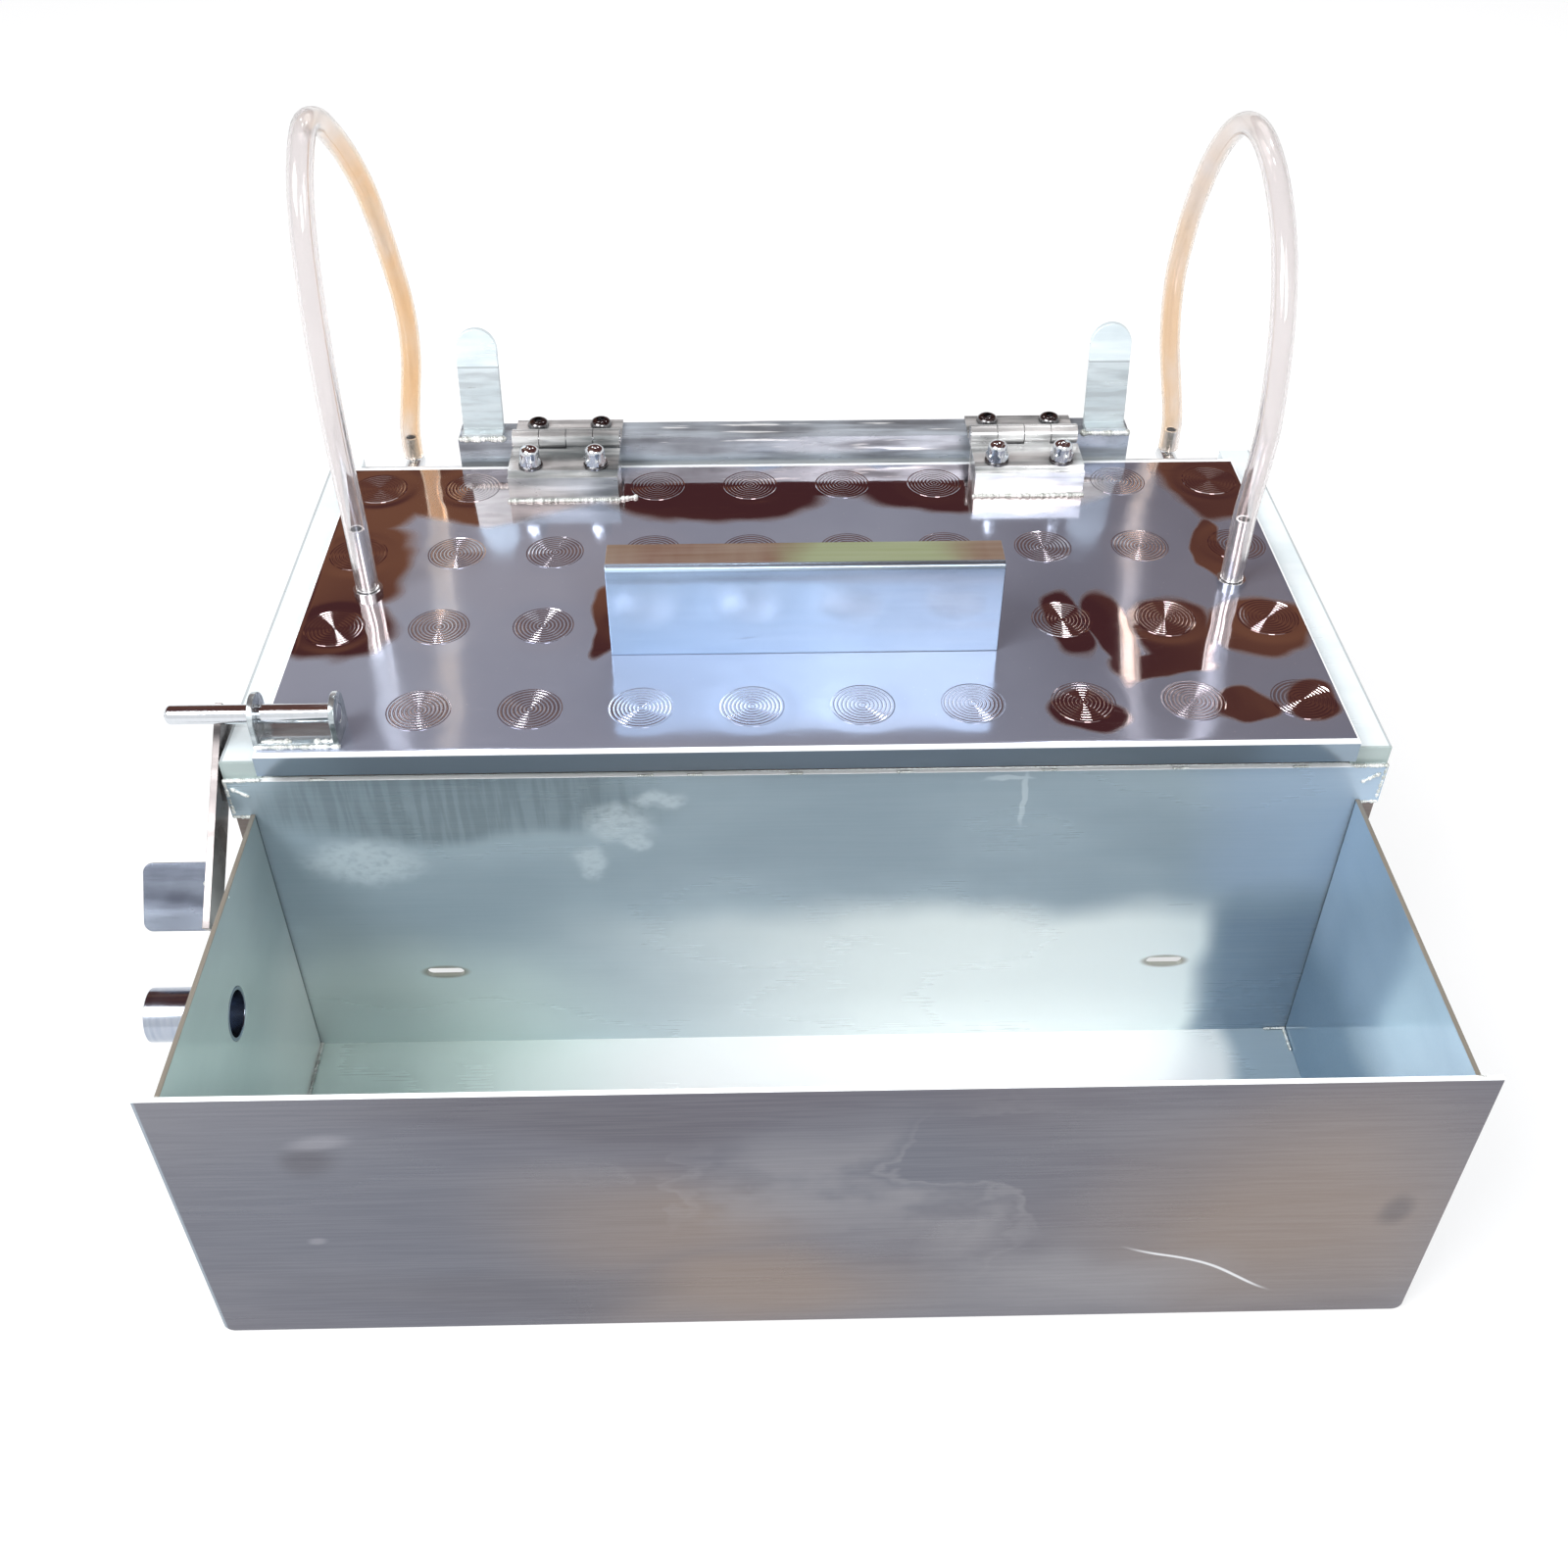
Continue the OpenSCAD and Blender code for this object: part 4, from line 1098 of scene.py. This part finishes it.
brushed.set(Base_Color=brushed.shade, Metallic=0.85 - 0.60 * on_top,
            Roughness=0.20 - 0.08 * on_top + 0.10 * fine)
brushed.bump(fine, 0.04, 0.0003)
stand_for(round_edges(handle, brushed.material, 0.35), "handle")
print("handle:", len(outline), "points in its outline")

# %% [markdown]
# Domed nuts and button-head screws repeat, so each is modelled once and scattered on its four places.
# A nut is a stack of rings that goes from a hexagon to a dome. A screw's rings end in a hexagon socket.

# %% Nuts and screws
HINGE_X, FIXING_X = 115, 16
fixings = [hinge + side for hinge in (-HINGE_X, HINGE_X) for side in (-FIXING_X, FIXING_X)]
FASTENER_SIDES = 36
NUT_SEAT, NUT_CORNER, NUT_NECK, DOME_RADIUS = 5.2, 5.75, 4.9, 4.8
DOME_FOOT, DOME_START = 6.2, 6.5
low, high = box_mm("acorn_nuts")
nut_rings = [
    (circle(NUT_SEAT), 0), (hexagon(NUT_CORNER), 0.5), (hexagon(NUT_CORNER), 3.2),
    (circle(NUT_NECK), 3.9), (circle(NUT_NECK - 0.05), DOME_FOOT)]
nut_rings += [
    (circle(DOME_RADIUS * math.cos(t)), DOME_START + (high.z - low.z - DOME_START) * math.sin(t))
    for t in (math.radians(a) for a in (0, 18, 36, 52, 66, 78, 86))]
nut = ring_stack("nut", nut_rings, FASTENER_SIDES)
nut_y = (low.y + high.y) / 2
nuts = scattered("domed_nuts", [(x, nut_y, low.z) for x in fixings], nut, steel_bright, math.pi, seed=7)
stand_for(nuts, "acorn_nuts")

low, high = box_mm("rear_hinge_screws")
screw_y = (low.y + high.y) / 2
HEAD_R, HEAD_H, SOCKET_R, SOCKET_DEPTH = 5.5, 3.6, 2.3, 1.8
head_rings = [(circle(HEAD_R - 0.3), 0), (circle(HEAD_R), 0.4)]
head_rings += [(circle(2.7 + (HEAD_R - 2.7) * math.cos(t)), 0.4 + (HEAD_H - 0.4) * math.sin(t))
               for t in (math.radians(a) for a in (18, 36, 54, 72, 90))]
head_rings += [(hexagon(SOCKET_R), HEAD_H), (hexagon(SOCKET_R), HEAD_H - SOCKET_DEPTH)]
head = ring_stack("screw_head", head_rings, FASTENER_SIDES)
heads = scattered("button_head_screws", [(x, screw_y, high.z - HEAD_H) for x in fixings], head, steel_dark,
                  math.pi, seed=9)
stand_for(heads, "rear_hinge_screws")
print("fasteners:", len(fixings), "nuts and", len(fixings), "screws")

# %% [markdown]
# Weld beads are rows of overlapping blobs. A second recipe turns each drawn line into points, puts a
# squashed sphere of slightly random size on every point, and one mesh per body carries them all.

# %% Weld beads
welder = Recipe("weld_bead", Size="Float", Pitch="Float")
line = welder.node("GeometryNodeMeshToCurve", inputs=[welder.given("Shape")])
dots = welder.node("GeometryNodeResampleCurve", {"mode": "LENGTH"}, {0: line, 3: welder.given("Pitch")})
blob = welder.node("GeometryNodeMeshUVSphere", inputs=[10, 6, 1.0])
smooth_blob = welder.node("GeometryNodeSetShadeSmooth", inputs=[blob])
tilt = welder.node("ShaderNodeCombineXYZ", inputs=[welder.random(0.0, 3.0), welder.random(0.5, 2.0), 0.0])
welder.finish(welder.node("GeometryNodeInstanceOnPoints", inputs={
    "Points": dots, "Instance": smooth_blob, "Rotation": tilt,
    "Scale": welder.random(0.65, 1.25) * welder.given("Size")}))

weld_metal = Finish("weld_metal", metallic=0.5)
heat = weld_metal.cloud(160, 0.35, 0.7)
weld_metal.set(Base_Color=weld_metal.mix(heat, (0.55, 0.58, 0.55), (0.95, 0.98, 0.96)))
weld_metal.set(Roughness=0.22 + 0.2 * heat)
weld_metal.bump(weld_metal.noise(900), 0.3, 0.0004)


def weld(name, body, size_mm, lines, seed):
    bm = bmesh.new()
    for line_mm in lines:
        verts = [bm.verts.new(Vector(point) * MM) for point in line_mm]
        for a, b in zip(verts, verts[1:]):
            bm.edges.new((a, b))
    piece = welder.run(new_piece(name, bm), Size=size_mm * MM, Pitch=0.9 * size_mm * MM,
                       Finish=weld_metal.material, Seed=seed)
    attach(piece, body)


corner_welds = []
for s in (-1, 1):
    corner_welds += [
        [(s * 241, 74.2, 168.2), (s * 227, 74.2, 168.4)], [(s * 241.3, 74.6, 167), (s * 240.8, 74.6, 151)],
        [(s * 241, 74.2, 148.6), (s * 235, 74.2, 148.4)], [(s * 239, 73.9, 164), (s * 233, 73.9, 160)]]
weld("corner_welds", "base", 0.9, corner_welds, 3)
tacks = [-203, -68, -47, -6, 40, 100, 155, 205]
weld("panel_tacks", "base", 0.55, [[(x - 3, 74.3, 168.1), (x + 3, 74.3, 168.1)] for x in tacks], 5)
stop_welds = [[(s * 158.5 - 11, 302.4, 199.3), (s * 158.5 + 11, 302.4, 199.3)] for s in (-1, 1)]
weld("stop_welds", "base", 1.6, stop_welds, 8)
trough_welds = [[(231.2, 72.8, 2.8), (231.2, 60, 2.8)], [(231.4, 73.2, 3), (222, 73.2, 2.8)],
                [(-231.4, 73, 2.8), (-231.4, -70, 2.8)], [(-233, -74.4, 149.6), (-236, -74.8, 149.4)],
                [(233, -74.4, 149.6), (236, -74.8, 149.4)], [(-232.6, 22, 148.6), (-232.6, 26, 148.6)]]
weld("trough_welds", "base", 0.7, trough_welds, 11)
block_welds = [[(s * HINGE_X - 27, 263.2, 186.4), (s * HINGE_X + 27, 263.2, 186.4)] for s in (-1, 1)]
block_welds += [[(-88, 264, 186.5), (-80, 266, 186.4)]]
weld("block_welds", "lid", 1.1, block_welds, 13)
foot_welds = [[(-224, 73.2, 186.6), (-191, 73.2, 186.6)], [(-221, 74.6, 188), (-210, 74.4, 188.4)],
              [(-199, 74.4, 188.2), (-192, 74.6, 188)]]
weld("bracket_welds", "lid", 1.25, foot_welds, 17)
weld("paddle_weld", "lever", 1.5, [[(-246.4, 35, 133), (-246.4, 42, 141)]], 19)
print("welds: 7 pieces")

# %% [markdown]
# Both mould mats carry the three-sided cell bottoms of honeycomb. One cell has three sloping diamonds over
# a hexagon. Thousands of copies on a staggered grid cover a thin slab. The photograph hides the mats, so
# their red-brown silicone is a guess.

# %% Mould mats
CELL_WIDTH = 5.4
CELL_RISE = 0.8
CELL_MARGIN = 6.0


def cell_template(direction):
    bm = bmesh.new()
    radius = CELL_WIDTH / math.sqrt(3)
    turns = [math.radians(60 * k + 30) for k in range(6)]
    flat = [bm.verts.new(Vector((radius * math.cos(t), radius * math.sin(t), 0)) * MM) for t in turns]
    lifted = [bm.verts.new(flat[k].co + Vector((0, 0, direction * CELL_RISE / 2 * MM))) for k in (0, 2, 4)]
    peak = bm.verts.new((0, 0, direction * CELL_RISE * MM))
    for k in range(3):
        after = lifted[(k + 1) % 3]
        bm.faces.new((peak, lifted[k], flat[2 * k + 1], after))
        bm.faces.new((lifted[k], flat[2 * k], flat[2 * k + 1]))
        bm.faces.new((after, flat[2 * k + 1], flat[(2 * k + 2) % 6]))
    bm.faces.new(flat)
    bmesh.ops.recalc_face_normals(bm, faces=bm.faces)
    return new_piece("cell", bm)


silicone = Finish("mould_silicone", metallic=0.0)
tone = silicone.cloud(18, 0.3, 0.7)
silicone.set(Base_Color=silicone.mix(tone, (0.36, 0.12, 0.06), (0.46, 0.17, 0.09)))
silicone.set(Roughness=0.5 + 0.15 * tone)


def mould_mat(node, direction):
    low, high = box_mm(node)
    face_z = high.z - CELL_RISE if direction > 0 else low.z + CELL_RISE
    slab_z = (low.z, face_z) if direction > 0 else (face_z, high.z)
    slab_outline = [(low.y, slab_z[0]), (high.y, slab_z[0]), (high.y, slab_z[1]), (low.y, slab_z[1])]
    slab = push_along_x(f"{node}_slab", slab_outline, low.x, high.x)
    stand_for(round_edges(slab, silicone.material, 0.3), node)
    row_step = CELL_WIDTH * math.sqrt(3) / 2
    row_count = int((high.y - low.y - 2 * CELL_MARGIN) / row_step)
    column_count = int((high.x - low.x - 2 * CELL_MARGIN) / CELL_WIDTH)
    first_x, first_y = low.x + CELL_MARGIN, low.y + CELL_MARGIN
    centres = [(first_x + (i + 0.5 * (j % 2)) * CELL_WIDTH, first_y + j * row_step, face_z)
               for j in range(row_count + 1) for i in range(column_count)]
    cells = scattered(f"{node}_cells", centres, cell_template(direction), silicone.material)
    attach(cells, frame["nodes"][node]["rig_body"])
    print(node, len(centres), "cells")


mould_mat("lower_mould_mat", 1)
mould_mat("upper_mould_mat", -1)
